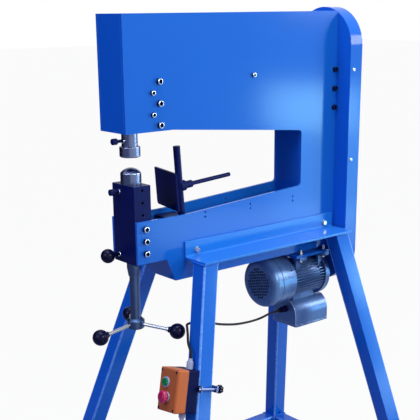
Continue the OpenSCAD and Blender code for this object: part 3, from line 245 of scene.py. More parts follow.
# The dark blue-grey of this chrome is painted reflection of dark surroundings in the dies.
finish("die_steel", "66739c", 0.24, metal=1.0, drift=0.06, grain_mm=0.4, grain_depth=0.001,
       rings="Z", ring_mm=0.9, ring_depth=0.0012, edge_wear_and_painted_light="c8d0e6", edge_wear_and_painted_light_share=0.7)
finish("screw_steel", "b4bac4", 0.22, metal=1.0, drift=0.08, drift_mm=8, grain_mm=0.5,
       grain_depth=0.002, edge_wear_and_painted_light="f0f2f6", edge_wear_and_painted_light_share=0.6)
finish("plain_steel", "465a84", 0.3, metal=1.0, drift=0.22, drift_mm=45, grain_mm=0.5,
       grain_depth=0.002, rings="Z", ring_mm=1.3, ring_depth=0.004, edge_wear_and_painted_light="a8b2bc",
       edge_wear_and_painted_light_share=0.6)
finish("turned_steel", "8b939c", 0.26, metal=1.0, drift=0.12, grain_mm=0.5, grain_depth=0.002,
       rings="Y", ring_mm=1.1, ring_depth=0.004, edge_wear_and_painted_light="c0c6cc", edge_wear_and_painted_light_share=0.6)
finish("housing_iron", "70757c", 0.48, metal=0.75, drift=0.2, drift_mm=30, grain_mm=1.1,
       grain_depth=0.03, edge_wear_and_painted_light="a8adb4", edge_wear_and_painted_light_share=0.5)
finish("bronze", "b98a45", 0.3, metal=1.0, drift=0.14, grain_mm=0.6, grain_depth=0.003, rings="Z",
       ring_mm=1.0, edge_wear_and_painted_light="e2bd7c")
# The blue tint of this silver is painted reflection of the blue frame; the pale edges are painted
# highlights on the fins and rims.
finish("motor_grey", "4e70a8", 0.28, metal=0.35, drift=0.1, drift_mm=40, grain_mm=1.0,
       grain_depth=0.02, edge_wear_and_painted_light="a9bcdf", edge_wear_and_painted_light_share=0.7, mirror=0.3, dust=0.04)
# The fan cover's near-black edge colour is painted shade in the holes of its grille and along its
# edges.
finish("fan_grey", "567ab0", 0.28, metal=0.35, drift=0.1, drift_mm=40, grain_mm=1.0,
       grain_depth=0.02, edge_wear_and_painted_light="101838", edge_wear_and_painted_light_share=1.4, mirror=0.3, dust=0.04)
finish("black_plastic", "0a0c30", 0.12, drift=0.15, drift_mm=20, grain_mm=0.8, grain_depth=0.002,
       edge_wear_and_painted_light="2c2a44", edge_wear_and_painted_light_share=0.5, mirror=0.1)
finish("dark_base", "081240", 0.5, drift=0.1, grain_mm=0.5, grain_depth=0.01, edge_wear_and_painted_light="2a3568",
       edge_wear_and_painted_light_share=0.6, mirror=0.05)
finish("orange_cover", "b86034", 0.4, drift=0.05, grain_mm=0.6, grain_depth=0.012,
       edge_wear_and_painted_light="e8935c", edge_wear_and_painted_light_share=0.6, mirror=0.2)
finish("pale_plastic", "a9acc6", 0.36, drift=0.05, grain_mm=0.8, grain_depth=0.005,
       edge_wear_and_painted_light="dfe2f2", edge_wear_and_painted_light_share=0.6, mirror=0.3)
finish("green_plastic", "0c8247", 0.2, drift=0.05, grain_mm=1.0, grain_depth=0.002,
       edge_wear_and_painted_light="3cb478", edge_wear_and_painted_light_share=0.6, mirror=0.4)
finish("red_plastic", "b81450", 0.2, drift=0.05, grain_mm=1.0, grain_depth=0.002, edge_wear_and_painted_light="e2507e",
       edge_wear_and_painted_light_share=0.6, mirror=0.4)
finish("cap_black", "151d42", 0.3, metal=0.6, drift=0.2, drift_mm=6, grain_mm=0.5,
       grain_depth=0.004, mirror=0.3)
finish("rim_steel", "c9d4ea", 0.16, metal=1.0, drift=0.06, drift_mm=6, grain_mm=0.4,
       grain_depth=0.001)
finish("belt_rubber", "15151c", 0.6, drift=0.2, drift_mm=20, grain_mm=0.8, grain_depth=0.02,
       edge_wear_and_painted_light="33333c", edge_wear_and_painted_light_share=0.5, mirror=0.2)
print(len(finishes), "finishes")

# %% [markdown]
# ## The motor's lead
# A round rubber lead of 7 mm leaves the gland of the terminal box and runs forward under the
# belly. It rises to the near front leg, bends over behind it and drops into the gland on top
# of the switch box. A curve with a round section follows the route of the solid lead, one
# smooth line through the same points.

# %% The lead
LEAD = [(7, 188, 764), (7, 170, 764), (12, 148, 766), (25, 110, 770), (36, 76, 771),
        (46, 40, 773),
        (62, -19, 781), (75, -82, 793), (96, -160, 818), (113, -206, 842), (126, -237, 856),
        (130, -262, 858), (132, -283, 859), (134, -300, 858), (142, -306, 851), (149, -310, 835),
        (159, -317, 816), (172, -322, 804), (182, -325.5, 797), (186, -329.2, 789.5),
        (187.5, -331.8, 780), (190, -336.7, 762)]


def smooth_line(corners, steps):
    ends = [corners[0], *corners, corners[-1]]
    line = []
    for a, b, c, d in zip(ends, ends[1:], ends[2:], ends[3:]):
        a, b, c, d = Vector(a), Vector(b), Vector(c), Vector(d)
        for k in range(steps):
            t = k / steps
            line.append(0.5 * (2 * b + (c - a) * t + (2 * a - 5 * b + 4 * c - d) * t * t
                               + (3 * b - a - 3 * c + d) * t ** 3))
    return line + [Vector(corners[-1])]


line = [point * MM for point in smooth_line(LEAD, 6)]
lead_length = sum((b - a).length for a, b in zip(line, line[1:]))
curve = bpy.data.curves.new("motor_lead", "CURVE")
curve.dimensions = "3D"
curve.bevel_depth, curve.bevel_resolution, curve.use_fill_caps = 3.5 * MM, 5, True
spline = curve.splines.new("POLY")
spline.points.add(len(line) - 1)
for point, place in zip(spline.points, line):
    point.co = (*place, 1)
lead = piece("motor_lead", curve, "frame", "belt_rubber")
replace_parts(lead, "motor_cable")
print("the lead is", round(lead_length, 3), "m long")

# %% [markdown]
# ## Soft edges
# Nothing that is sawn, welded or cast has a knife edge, and it is the narrow rounded edge
# that catches the light. The solids come as loose triangles, so each is copied, merged and
# cleared of the lines inside flat faces, and then its sharp edges are bevelled. The new
# narrow faces are marked, so that a finish can colour them: wear on some finishes, painted
# highlights on others, painted shade on the fan cover. The square tubes of the stand are
# rolled, and their long corners have a radius of 5 mm.

# %% Soft edges
SAME_POINT, FLAT, SHARP, SMOOTH = 2e-6, math.radians(0.4), math.radians(32), math.radians(38)
TUBE_CORNER_MM, TUBE_STEPS, EDGE_STEPS = 5, 4, 2
TUBES = ("front_legs", "rear_legs", "lower_stretchers")


def softened(node, width_mm, slot, finish_name=None):
    work = bmesh.new()
    work.from_mesh(frame["nodes"][node].data)
    for layer in list(work.loops.layers.uv):
        work.loops.layers.uv.remove(layer)
    bmesh.ops.remove_doubles(work, verts=work.verts, dist=SAME_POINT)
    bmesh.ops.dissolve_limit(work, angle_limit=FLAT, verts=work.verts, edges=work.edges)
    mark = work.faces.layers.float.new("edge")
    passes = [(lambda edge: True, width_mm, EDGE_STEPS)]
    if node in TUBES:
        passes.insert(0, (long_outer, TUBE_CORNER_MM, TUBE_STEPS))
    for test, width, steps in passes:
        edges = [edge for edge in work.edges if len(edge.link_faces) == 2
                 and edge.calc_face_angle(0) > SHARP and test(edge)]
        made = bmesh.ops.bevel(work, geom=edges, offset=width * MM, offset_type="OFFSET",
                               segments=steps, profile=0.5, affect="EDGES", clamp_overlap=True)
        for face in made["faces"]:
            face[mark] = 1.0
    data = bpy.data.meshes.new(node + "_soft")
    work.to_mesh(data)
    work.free()
    for name in ("custom_normal", "sharp_face"):
        if name in data.attributes:
            data.attributes.remove(data.attributes[name])
    data.shade_smooth()
    data.set_sharp_from_angle(angle=SMOOTH)
    soft = piece(node + "_soft", data, body_of[node], slot, finish_name)
    even = soft.modifiers.new("even shading", "WEIGHTED_NORMAL")
    even.keep_sharp = True
    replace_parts(soft, node)


def long_outer(edge):
    """The long corners on the outside of a square tube, which is rolled with a radius."""
    large_faces = all(face.calc_area() > 0.02 for face in edge.link_faces)
    return edge.calc_length() >= 0.2 and large_faces and edge.is_convex


SOFT = {
    "side_plate_near": (1.2, "blue_paint"), "side_plate_far": (1.2, "blue_paint"),
    "head_front_plate": (0.3, "blue_paint"), "back_plate": (0.3, "blue_paint"),
    "arm_underside": (0.3, "blue_paint"), "belly_plate": (0.3, "blue_paint"),
    "head_housing": (1.0, "housing_iron"), "shaft_supports": (1.0, "housing_iron"),
    "anvil_block": (1.5, "anvil_black"), "screw_nut": (0.8, "plain_steel"),
    "guard_base": (0.6, "blue_paint"), "guard_cover": (1.5, "blue_paint"),
    "side_rails": (2.0, "blue_paint", "rail_blue"), "front_legs": (0.6, "blue_paint"),
    "rear_legs": (0.6, "blue_paint"),
    "lower_stretchers": (0.6, "blue_paint"), "motor_plate": (1.0, "blue_paint"),
    "motor_body": (0.5, "motor_grey"), "motor_end_shield": (1.2, "motor_grey"),
    "fan_cover": (0.4, "motor_grey", "fan_grey"), "terminal_box": (2.0, "motor_grey"),
    "terminal_lid": (1.0, "motor_grey"), "motor_gland": (0.5, "black_plastic"),
    "box_base": (1.0, "dark_base"), "box_cover": (1.2, "orange_cover"),
    "button_bezels": (0.5, "pale_plastic"), "box_glands": (0.6, "pale_plastic"),
    "box_clamp": (0.5, "screw_steel", "die_steel"), "upper_die": (0.6, "die_steel"),
    "lower_die": (0.8, "die_steel"), "ram": (0.6, "die_steel"),
    "anvil_post": (0.8, "plain_steel"), "adjusting_screw": (0.8, "plain_steel"),
    "wheel_spokes": (0.4, "screw_steel"), "wheel_balls": (0.5, "black_plastic"),
    "stop_carriage": (1.0, "anvil_black"), "stop_post": (0.9, "anvil_black"),
    "stop_handle": (0.8, "anvil_black"), "start_button": (0.25, "green_plastic"),
    "mushroom_button": (1.0, "red_plastic"), "clamp_knob": (0.8, "black_plastic"),
    "lock_knob": (0.5, "black_plastic"), "block_thumb_screw": (0.4, "anvil_black"),
    "upper_die_screw": (0.4, "anvil_black"),
    "motor_studs": (0.4, "screw_steel"), "guard_screws": (0.4, "screw_steel"),
}
PLAIN = {
    "ram_bush": "bronze", "shaft_bearings": "screw_steel", "drive_belt": "belt_rubber",
    "main_shaft": "turned_steel", "shaft_pulley": "housing_iron",
    "motor_shaft": "turned_steel", "motor_fan": "black_plastic",
    "motor_pulley": "housing_iron", "con_rod": "housing_iron",
}
for node, choice in SOFT.items():
    softened(node, *choice)
for node, name in PLAIN.items():
    for slot in frame["nodes"][node].material_slots:
        slot.material = finishes[name]
print(len(SOFT), "solids with soft edges")

# %% [markdown]
# ## Fittings made on a lathe
# Screws, collars and seat rings are turned parts. Each is drawn as an outline of radius and
# height, and swung round its axis. A third number in the outline is half the width across
# the flats of a hexagon, milled after turning. A third mark "k" is a knurl, a fine pattern
# of grooves that is rolled into the rim so that fingers can grip it.

# %% Turned shapes
patterns = []


def turned(name, outline, sides=36, knurl=0.35, closed=False):
    rings, points, faces = [], [], []
    for radius, height, *kind in outline:
        ring = []
        for k in range(1 if radius == 0 else sides):
            angle, reach = 2 * math.pi * k / sides, radius
            if kind and kind[0] == "k":
                reach -= knurl * (k % 2)
            elif kind:
                reach = min(radius, kind[0] / math.cos((angle % (math.pi / 3)) - math.pi / 6))
            ring.append(len(points))
            points.append((reach * math.cos(angle) * MM, reach * math.sin(angle) * MM,
                           height * MM))
        rings.append(ring)
    for low, high in zip(rings, rings[1:] + (rings[:1] if closed else [])):
        for k in range(sides):
            a, b = low[k % len(low)], low[(k + 1) % len(low)]
            c, d = high[(k + 1) % len(high)], high[k % len(high)]
            faces.append([v for i, v in enumerate((a, b, c, d)) if v not in (a, b, c, d)[:i]])
    data = bpy.data.meshes.new(name)
    data.from_pydata(points, [], faces)
    shape = bpy.data.objects.new(name, data)
    bpy.context.collection.objects.link(shape)
    patterns.append(shape)
    return shape


def thread(name, radius, length, pitch=1.25, depth=0.35):
    """The crests of a screw thread, as a sleeve on a plain stem."""
    outline = [(radius - 0.3, 0)]
    for k in range(int(length / pitch)):
        outline += [(radius, k * pitch), (radius + depth, (k + 0.5) * pitch)]
    top = int(length / pitch) * pitch
    return turned(name, outline + [(radius, top), (radius - 0.3, top)], 24, closed=True)


# %% [markdown]
# ## Copies set at places
# One tree of geometry nodes sets a copy of a shape on each point of a list, turned as the
# point says, and makes the copies real. A fitter works the same way: one box of equal
# screws, and a list of holes. A second tree lays a weld. It walks along a path and leaves
# a small overlapping drop at each step, a little uneven, as a hand-held torch does.

# %% The two trees
def open_tree(name, inputs):
    tree = bpy.data.node_groups.new(name, "GeometryNodeTree")
    keys = {}
    for label, kind in (("Geometry", "Geometry"), *inputs):
        keys[label] = tree.interface.new_socket(label, in_out="INPUT",
                                                socket_type="NodeSocket" + kind).identifier
    tree.interface.new_socket("Geometry", in_out="OUTPUT", socket_type="NodeSocketGeometry")
    sheet = Sheet(tree)
    return sheet, keys, dict(zip(keys, sheet.add("NodeGroupInput")))


def close_tree(sheet, instances, finish_input):
    real = sheet.add("GeometryNodeRealizeInstances", None, {0: instances})[0]
    dressed = sheet.add("GeometryNodeSetMaterial", None,
                        {"Geometry": real, "Material": finish_input})[0]
    sheet.add("NodeGroupOutput", None, {0: dressed})


copy_sheet, copy_keys, given = open_tree("placed copies", (("Copy", "Object"),
                                                          ("Finish", "Material")))
stored_turn = copy_sheet.add("GeometryNodeInputNamedAttribute", {"data_type": "FLOAT_VECTOR"},
                             {0: "turn"})[0]
model = copy_sheet.add("GeometryNodeObjectInfo", None, {0: given["Copy"], 1: True})[-1]
inputs = {"Points": given["Geometry"], "Instance": model, "Rotation": stored_turn}
placed = copy_sheet.add("GeometryNodeInstanceOnPoints", None, inputs)[0]
close_tree(copy_sheet, placed, given["Finish"])

bead_sheet, bead_keys, given = open_tree("weld bead", (("Step", "Float"), ("Width", "Float"),
                                                      ("Seed", "Int"), ("Finish", "Material")))
path = bead_sheet.add("GeometryNodeMeshToCurve", None, {0: given["Geometry"]})[0]
walk = bead_sheet.add("GeometryNodeCurveToPoints", {"mode": "LENGTH"},
                      {"Curve": path, "Length": given["Step"]})
drop = bead_sheet.add("GeometryNodeMeshUVSphere", None,
                      {"Segments": 8, "Rings": 5, "Radius": 1.0})[0]
least, most = 0.42, 0.56
uneven = bead_sheet.add("FunctionNodeRandomValue", {"data_type": "FLOAT"},
                        {2: least, 3: most, "Seed": given["Seed"]})[1]
half_width = uneven * given["Width"]
swell = bead_sheet.add("ShaderNodeCombineXYZ", None,
                       {0: half_width, 1: half_width, 2: given["Step"] * 0.9})[0]
inputs = {"Points": walk[0], "Instance": drop, "Rotation": walk[3], "Scale": swell}
beads = bead_sheet.add("GeometryNodeInstanceOnPoints", None, inputs)[0]
close_tree(bead_sheet, beads, given["Finish"])
print("trees:", copy_sheet.tree.name, "and", bead_sheet.tree.name)


def grown(name, start, tree, values, body, slot, finish_name=None):
    """Runs a tree on a mesh and keeps the result as a plain piece."""
    holder = bpy.data.objects.new(name + "_start", start)
    bpy.context.collection.objects.link(holder)
    working = holder.modifiers.new("tree", "NODES")
    working.node_group = tree
    for key, value in values.items():
        working[key] = value
    bpy.context.view_layer.update()
    graph = bpy.context.evaluated_depsgraph_get()
    data = bpy.data.meshes.new_from_object(holder.evaluated_get(graph), depsgraph=graph)
    data.name = name
    bpy.data.objects.remove(holder)
    data.shade_smooth()
    data.set_sharp_from_angle(angle=SHARP)
    return piece(name, data, body, slot, finish_name)


def copies(name, shape, places, body, slot, finish_name=None):
    """Places are pairs in millimetres: a point and the way the shape's axis looks."""
    start = bpy.data.meshes.new(name)
    start.from_pydata([Vector(point) * MM for point, way in places], [], [])
    turns = start.attributes.new("turn", "FLOAT_VECTOR", "POINT")
    for item, (point, way) in zip(turns.data, places):
        item.vector = Vector(way).to_track_quat("Z", "Y").to_euler()
    values = {copy_keys["Copy"]: shape, copy_keys["Finish"]: finishes[finish_name or slot]}
    made = grown(name, start, copy_sheet.tree, values, body, slot, finish_name)
    print(name, len(places), "copies,", len(made.data.polygons), "faces")
    return made


def welds(name, paths, body, slot, width_mm=6.0, step_mm=4.0):
    points, edges = [], []
    for route in paths:
        edges += [(len(points) + k, len(points) + k + 1) for k in range(len(route) - 1)]
        points += [Vector(point) * MM for point in route]
    start = bpy.data.meshes.new(name)
    start.from_pydata(points, edges, [])
    values = {bead_keys["Step"]: step_mm * MM, bead_keys["Width"]: width_mm * MM,
              bead_keys["Seed"]: 7, bead_keys["Finish"]: finishes[slot]}
    made = grown(name, start, bead_sheet.tree, values, body, slot)
    print(name, len(paths), "runs,", len(made.data.polygons), "faces")


# %% [markdown]
# ## Screws in the frame
# Socket head cap screws hold the head's castings and the anvil housing between the side
# plates. Their barrels are black and knurled, the turned rim of the head is polished by
# the hex key's shoulder, and the socket stays dark. The three at the rear get no bright rim,
# as painted shade, because they sit in the dark at the rear of the frame. The rails hang on
# hexagon bolts with washers, which can be turned from outside with a spanner.

# %% Cap screws and rail bolts
PLATE_X, RAIL_X, RAIL_BOLT_Z = 60, 66, 1044
LARGE = [(-322, 1518), (-322, 1461), (-322, 1404), (-380, 1129), (-380, 1095), (-380, 1061)]
# The rear three are the same screws without rims, so that they read dark: painted shade.
LARGE_REAR_SHADED = [(344, 1518), (344, 1461), (344, 1404)]
SMALL = [(-344, 1489.5), (-344, 1432.5), (11, 1518)]


def both_sides(x, places):
    return [((side * x, y, z), (side, 0, 0)) for side in (1, -1) for y, z in places]


def cap_screw(name, r, tall, flat, shank):
    deep = tall * 0.45
    return turned(name, [(0, -22), (shank - 0.5, -22), (shank, -21.3), (shank, 0), (r, 0, "k"),
                         (r, tall - 1.4, "k"), (r - 0.2, tall - 1.0), (r - 1.1, tall - 0.1),
                         (flat * 1.3, tall), (flat * 1.155, tall - 0.5, flat),
                         (flat * 1.155, deep, flat), (0, deep)])


def cap_rim(name, r, tall):
    return turned(name, [(r - 1.7, tall - 0.4), (r - 0.1, tall - 1.5), (r + 0.05, tall - 1.2),
                         (r - 0.3, tall - 0.4), (r - 1.0, tall), (r - 1.7, tall)], closed=True)


for name, r, tall, flat, shank, bright, rear_shaded in (
        ("large_cap_screws", 8.0, 10.0, 4.0, 5.0, LARGE, LARGE_REAR_SHADED),
        ("small_cap_screws", 6.4, 8.0, 3.0, 4.0, SMALL, [])):
    heads = copies(name + "_heads", cap_screw(name, r, tall, flat, shank),
                   both_sides(PLATE_X, bright + rear_shaded), "frame", "anvil_black", "cap_black")
    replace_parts(heads, name)
    copies(name + "_rims", cap_rim(name, r, tall), both_sides(PLATE_X, bright), "frame",
           "screw_steel", "rim_steel")

BOLT_FLAT = 6.93
rail_bolt = turned("rail bolt", [
    (0, -24), (6.6, -24, BOLT_FLAT), (8, -23.2, BOLT_FLAT), (8, -15.2, BOLT_FLAT),
    (6.6, -14.4, BOLT_FLAT), (5, -14.4), (5, 0), (8.8, 0), (9, 0.25), (9, 1.3), (8.8, 1.5),
    (8, 1.6, BOLT_FLAT), (8, 7.1, BOLT_FLAT), (6.7, 8, BOLT_FLAT), (0, 8)])
rail_bolt_places = both_sides(RAIL_X, [(-208, RAIL_BOLT_Z), (308, RAIL_BOLT_Z)])
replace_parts(copies("rail_bolts_turned", rail_bolt, rail_bolt_places, "frame", "screw_steel"),
            "rail_bolts")

# %% [markdown]
# ## Small screws, rims and threads
# The motor's clamp ring has sunk grub screws, its terminal lid and the switch box have
# small ones in the corners. The two sheets of the fan cover meet in a dark seam. Seat rings
# and ferrules are bright where they are turned. Threads are cut only where a stem works in a
# nut, and they stand proud of the plain stem.

# %% Where the legs and the switch box are
LEG_TOP_X, LEG_FOOT_X, LEG_TOP_Z, LEG_FOOT_Z = 125, 360, 1023, 8
BOX_ON_LEG = Vector((-10.9, -26, -356))
BOX_TURN = math.radians(-5)


def turn_by(x, y, z):
    return Euler((x, y, z)).to_matrix()


def leg_frame(front, side):
    """The top of a leg and the turn of its tube."""
    top = Vector((LEG_TOP_X * side, -223 if front else 304, LEG_TOP_Z))
    foot = Vector((LEG_FOOT_X * side, -500 if front else 500, LEG_FOOT_Z))
    drop = top.z - foot.z
    lean = math.atan((foot.y - top.y) / drop)
    spread = -side * math.atan((LEG_FOOT_X - LEG_TOP_X) / drop * math.cos(lean))
    return top, turn_by(lean, 0, 0) @ turn_by(0, spread, 0)


leg_top, leg_turn = leg_frame(True, 1)
box_turn = leg_turn @ turn_by(math.radians(90), 0, 0) @ turn_by(0, 0, BOX_TURN)
box_zero = leg_top + leg_turn @ BOX_ON_LEG


def on_box(across_mm, up_mm, out_mm):
    return box_zero + box_turn @ Vector((across_mm, up_mm, out_mm))


box_out, box_up = box_turn @ Vector((0, 0, 1)), box_turn @ Vector((0, 1, 0))
print("the switch box stands on the leg at", [round(v) for v in box_zero], "mm")

# %% Small fittings
MOTOR_Z, SEAM_Y, CLAMP_RING_Y, CLAMP_RING_R, LID_Z = 870, 127, 169, 79.3, 710
HOUSING_FACE_Y, HUB, SPOKE_RISE, SPOKE_START = -407, Vector((0, -380, 847)), 6.4, 33.3
FORWARD = (0, -1, 0)
spoke_ways = [turn_by(0, math.radians(SPOKE_RISE), math.radians(SPOKE_START + 120 * k))
              @ Vector((1, 0, 0)) for k in range(3)]

seam = turned("cover seam", [(77.8, -1.0), (78.6, -0.9), (78.8, 0), (78.6, 0.9), (77.8, 1.0)],
              sides=96, closed=True)
copies("fan_cover_seam", seam, [((0, SEAM_Y, MOTOR_Z), (0, 1, 0))], "frame", "motor_grey",
       "cap_black")

grub = turned("grub screw", [(0, -3), (2.15, -3), (2.15, -0.3), (1.9, 0), (1.2, 0),
                             (1.15, -0.2, 1.0), (1.15, -1.6, 1.0), (0, -1.6)], 24)
ring_ways = [Vector((math.cos(a), 0, math.sin(a))) for a in map(math.radians, (32, 152, 272))]
ring_middle = Vector((0, CLAMP_RING_Y, MOTOR_Z))
grub_places = [(way * CLAMP_RING_R + ring_middle, way) for way in ring_ways]
copies("motor_grub_screws", grub, grub_places, "frame", "anvil_black", "cap_black")

pan = turned("pan screw", [(0, -6), (1.6, -6), (1.6, 0), (3.4, 0), (3.4, 0.8), (2.6, 1.4),
                           (1.3, 1.5), (1.2, 1.3, 1.05), (1.2, 0.3, 1.05), (0, 0.3)], 24)
lid_places = [((x, y, LID_Z), (0, 0, -1)) for x in (-47, 47) for y in (211, 343)]
copies("terminal_lid_screws", pan, lid_places, "frame", "screw_steel")
corner_places = [(on_box(x, y, 77.9), box_out) for x in (-31, 31) for y in (-51.5, 51.5)]
copies("box_corner_screws", pan, corner_places, "frame", "anvil_black", "cap_black")

for name, low, high, place, way in (
        ("box_gland_collars", 6.2, 21, on_box(7, 59, 15), box_up),
        ("box_low_gland_collar", 6, 17.4, on_box(3, -59, 20), -box_up)):
    ridges = [(8.0, low), (9.3, low + 0.6, "k"), (9.3, high - 0.8, "k"), (8.0, high)]
    collar = turned("ribbed collar", ridges, knurl=0.9, closed=True)
    copies(name, collar, [(place, way)], "frame", "pale_plastic")

ferrule = turned("ferrule", [(4.9, 0), (6.3, 0.2), (6.8, 0.8), (6.8, 5.6), (6.3, 6.2),
                             (4.9, 6.2)], closed=True)
copies("spoke_ferrules", ferrule, [(HUB + way * 93, way) for way in spoke_ways], "hand_wheel",
       "screw_steel")

seat = turned("seat ring", [(4.1, 0), (7.4, 0), (7.6, 0.4), (7.2, 1.8), (5.6, 2.2), (4.1, 2.2)],
              closed=True)
for name, place, body in (("upper_die_screw_seat", (0, -401.4, 1364), "ram"),
                          ("block_screw_seat", (-21, HOUSING_FACE_Y, 1225), "frame"),
                          ("lock_knob_seat", (-30, HOUSING_FACE_Y, 1048), "frame")):
    copies(name, seat, [(place, FORWARD)], body, "screw_steel", "rim_steel")
for name, length, place, body in (
        ("upper_die_screw_thread", 17, (0, -404, 1364), "upper_die_screw"),
        ("block_screw_thread", 12, (-21, -410.3, 1225), "block_screw")):
    copies(name, thread(name + " crests", 4, length), [(place, FORWARD)], body, "anvil_black")

# %% [markdown]
# ## Welds
# The stand is tube and flat plate joined with a hand-held torch. The beads run round each
# leg where it meets its rail and its foot plate, round the ends of the stretchers, and
# along the strips that carry the motor. They are painted over with the rest.

# %% Weld runs
TUBE_HALF, WELD_HALF = 26, 25.6
RAIL_UNDERSIDE_Z, FOOT_PLATE_Z, STRETCHER_Z, STRIP_Z = 1022, 9.5, 178, 964.6
CORNERS = ((1, 1), (-1, 1), (-1, -1), (1, -1), (1, 1))


def leg_ring(front, side, z):
    """The outline that a leaning square tube leaves on a level plane."""
    top, turn_of_leg = leg_frame(front, side)
    way = turn_of_leg @ Vector((0, 0, 1))
    corners = [top + turn_of_leg @ Vector((a * WELD_HALF, b * WELD_HALF, 0)) for a, b in CORNERS]
    return [corner + way * ((z - corner.z) / way.z) for corner in corners]


def tube_end(front, side, along_axis, face_axis):
    """The outline of a stretcher's end where it meets a leg's flat face."""
    top, turn_of_leg = leg_frame(front, side)
    way = turn_of_leg @ Vector((0, 0, 1))
    middle = top + way * ((STRETCHER_Z - top.z) / way.z)
    normal = turn_of_leg @ Vector(face_axis)
    ring = []
    for a, b in CORNERS:
        corner = middle + Vector((0, 0, b * WELD_HALF))
        corner[1 - along_axis] += a * WELD_HALF
        corner[along_axis] += (TUBE_HALF - (corner - top).dot(normal)) / normal[along_axis]
        ring.append(corner)
    return ring


runs = [leg_ring(front, side, z) for front in (True, False) for side in (1, -1)
        for z in (RAIL_UNDERSIDE_Z, FOOT_PLATE_Z)]
for side in (1, -1):
    runs += [tube_end(front, side, 1, (0, 1 if front else -1, 0)) for front in (True, False)]
    runs.append(tube_end(False, side, 0, (-side, 0, 0)))
runs += [[(x, 178, STRIP_Z), (x, 334, STRIP_Z)] for x in (-44.5, -15.5, 15.5, 44.5)]
welds("frame_welds", runs, "frame", "blue_paint")

post_foot, post_lean = Vector((33, -234, 1136)), turn_by(math.radians(4), 0, 0)
plate_turn = turn_by(0, 0, math.radians(-10))
plate_runs = [[post_foot + post_lean @ (plate_turn @ Vector((x, -9.2, 0)) + Vector((0, 0, z)))
               for z in (24, 126)] for x in (-5.5, 6.5)]
welds("stop_plate_welds", plate_runs, "stop_post", "anvil_black", 4.5, 3.2)

for shape in patterns:
    bpy.data.objects.remove(shape)
print(len(patterns), "patterns put away")

# %% [markdown]
# ## The light of the room
# A catalogue picture is lit by broad soft lamps in a white room. The world is white where
# the camera or a shiny surface sees it, and dim and blue as a light.

# %% The world
def what_sees(sheet):
    """Whether the camera looks, and whether a mirror or a clear surface does."""
    ray = sheet.add("ShaderNodeLightPath")
    camera_ray, glossy_ray, transmitted_ray = ray[0], ray[3], ray[6]
    return camera_ray, glossy_ray.with_math("MAXIMUM", transmitted_ray)


world = bpy.data.worlds.new("studio")
bpy.context.scene.world = world
world.use_nodes = True
room = Sheet(world.node_tree)
by_camera, by_mirror = what_sees(room)
seen = by_camera.with_math("MAXIMUM", by_mirror)
fill = 0.27
tone = blend(room, seen, (0.42, 0.47, 1.0), (1.0, 1.0, 1.0))
glow = room.add("ShaderNodeBackground", None, {0: tone, 1: seen * (1 - fill) + fill})[0]
room.add("ShaderNodeOutputWorld", None, {0: glow})
print("the room lights the machine with", fill, "of the white that is seen")

# %% [markdown]
# ## Lamps
# A large lamp stands on the side of the machine that is brightest, and another lights the
# rear. A tall narrow one draws the bright stripe on the dies. A bluish lamp fills the front
# and a cool one the top. Three small blue windows stand low behind the machine, where the
# glossy paint mirrors them as pale patches.

# %% The lamps
def lamp(name, place, target, width, height, watts, tone=(1, 1, 1)):
    light = bpy.data.lights.new(name, "AREA")
    light.shape, light.size, light.size_y = "RECTANGLE", width, height
    light.energy, light.color = watts, tone
    thing = bpy.data.objects.new(name, light)
    aim = (Vector(target) - Vector(place)).to_track_quat("-Z", "Y").to_matrix().to_4x4()
    thing.matrix_world = Matrix.Translation(place) @ aim
    bpy.context.collection.objects.link(thing)


lamp("side lamp", (3.6, 0.2, 2.7), (0, 0, 1.2), 1.6, 1.6, 74, (1.0, 0.99, 0.84))
lamp("rear lamp", (2.4, 3.2, 2.3), (0, 0.3, 1.0), 1.2, 1.2, 62, (1.0, 0.98, 0.9))
lamp("stripe lamp", (1.6, 3.2, 1.4), (0, -0.38, 1.3), 0.35, 1.6, 26)
lamp("front lamp", (0.4, -4.0, 3.2), (0, 0, 1.1), 1.6, 1.6, 66, (0.5, 0.57, 1.0))
lamp("top lamp", (0.2, -0.4, 4.2), (0, 0, 1.0), 2.0, 2.0, 92, (0.8, 0.95, 1.0))
lamp("window", (3.0, 3.15, 1.0), (0.06, 0.2, 1.42), 0.6, 0.34, 9, (0.4, 0.9, 1.0))
lamp("low window", (3.0, 2.6, 0.16), (0.06, 0.0, 1.05), 1.5, 0.3, 9, (0.5, 0.9, 1.0))
lamp("tall window", (3.0, 3.35, 0.62), (0.06, 0.25, 1.2), 0.75, 1.0, 12, (0.35, 0.9, 1.0))
print(len(bpy.data.lights), "lamps")

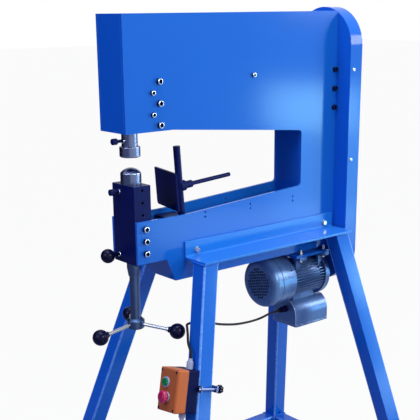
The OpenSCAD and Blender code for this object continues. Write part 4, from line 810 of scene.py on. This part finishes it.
# %% [markdown]
# ## Dark screen and floor
# A photographer hangs black cloth where a shiny surface would mirror the bright room. This
# screen stands far on the other side, and only mirrors see it. The pale floor is almost as
# white as the room and keeps the machine's shadow. In mirrors it is dark in front and pale
# behind, as if a dark carpet lay in front of the machine.

# %% The dark screen and the floor
FLOOR_HALF = 40
SHADOWLESS_SHARE = 0.955
MIRRORED_FLOOR = {"From Min": -0.5, "From Max": 1.2, "To Min": 0.05, "To Max": 0.9}


def backdrop(name, corners, material_name):
    data = bpy.data.meshes.new(name)
    data.from_pydata(corners, [], [(0, 1, 2, 3)])
    thing = bpy.data.objects.new(name, data)
    bpy.context.collection.objects.link(thing)
    material = bpy.data.materials.new(material_name)
    material.use_nodes = True
    data.materials.append(material)
    return thing, Sheet(material.node_tree)


screen, cloth = backdrop("dark_screen", [(-5, -9, 0), (-5, 1, 0), (-5, 1, 6), (-5, -9, 6)],
                         "black_cloth")
screen.visible_camera = screen.visible_diffuse = False
screen.visible_shadow = screen.visible_transmission = False
black = cloth.add("ShaderNodeBsdfDiffuse", None, {0: (0.01, 0.012, 0.03, 1)})[0]
cloth.add("ShaderNodeOutputMaterial", None, {0: black})

square = ((-1, -1), (1, -1), (1, 1), (-1, 1))
floor, ground = backdrop("floor", [(x * FLOOR_HALF, y * FLOOR_HALF, 0) for x, y in square],
                         "pale_floor")
matt = ground.add("ShaderNodeBsdfPrincipled", None,
                  {"Base Color": (0.3, 0.3, 0.34, 1), "Roughness": 0.9})[0]
lit = ground.add("ShaderNodeEmission", None, {0: (1, 1, 1, 1), 1: 1.0})[0]
by_camera, by_mirror = what_sees(ground)
where = ground.add("ShaderNodeSeparateXYZ", None,
                   {0: ground.add("ShaderNodeTexCoord")[OBJECT_PLACE]})
carpet = ground.add("ShaderNodeMapRange", {"interpolation_type": "SMOOTHSTEP"},
                    {"Value": where[0] + where[1], **MIRRORED_FLOOR})[0]
share = (by_camera * SHADOWLESS_SHARE).with_math("MAXIMUM", by_mirror * carpet)
mixed = ground.add("ShaderNodeMixShader", None, {0: share, 1: matt, 2: lit})[0]
ground.add("ShaderNodeOutputMaterial", None, {0: mixed})
print("the floor is", 2 * FLOOR_HALF, "m wide")
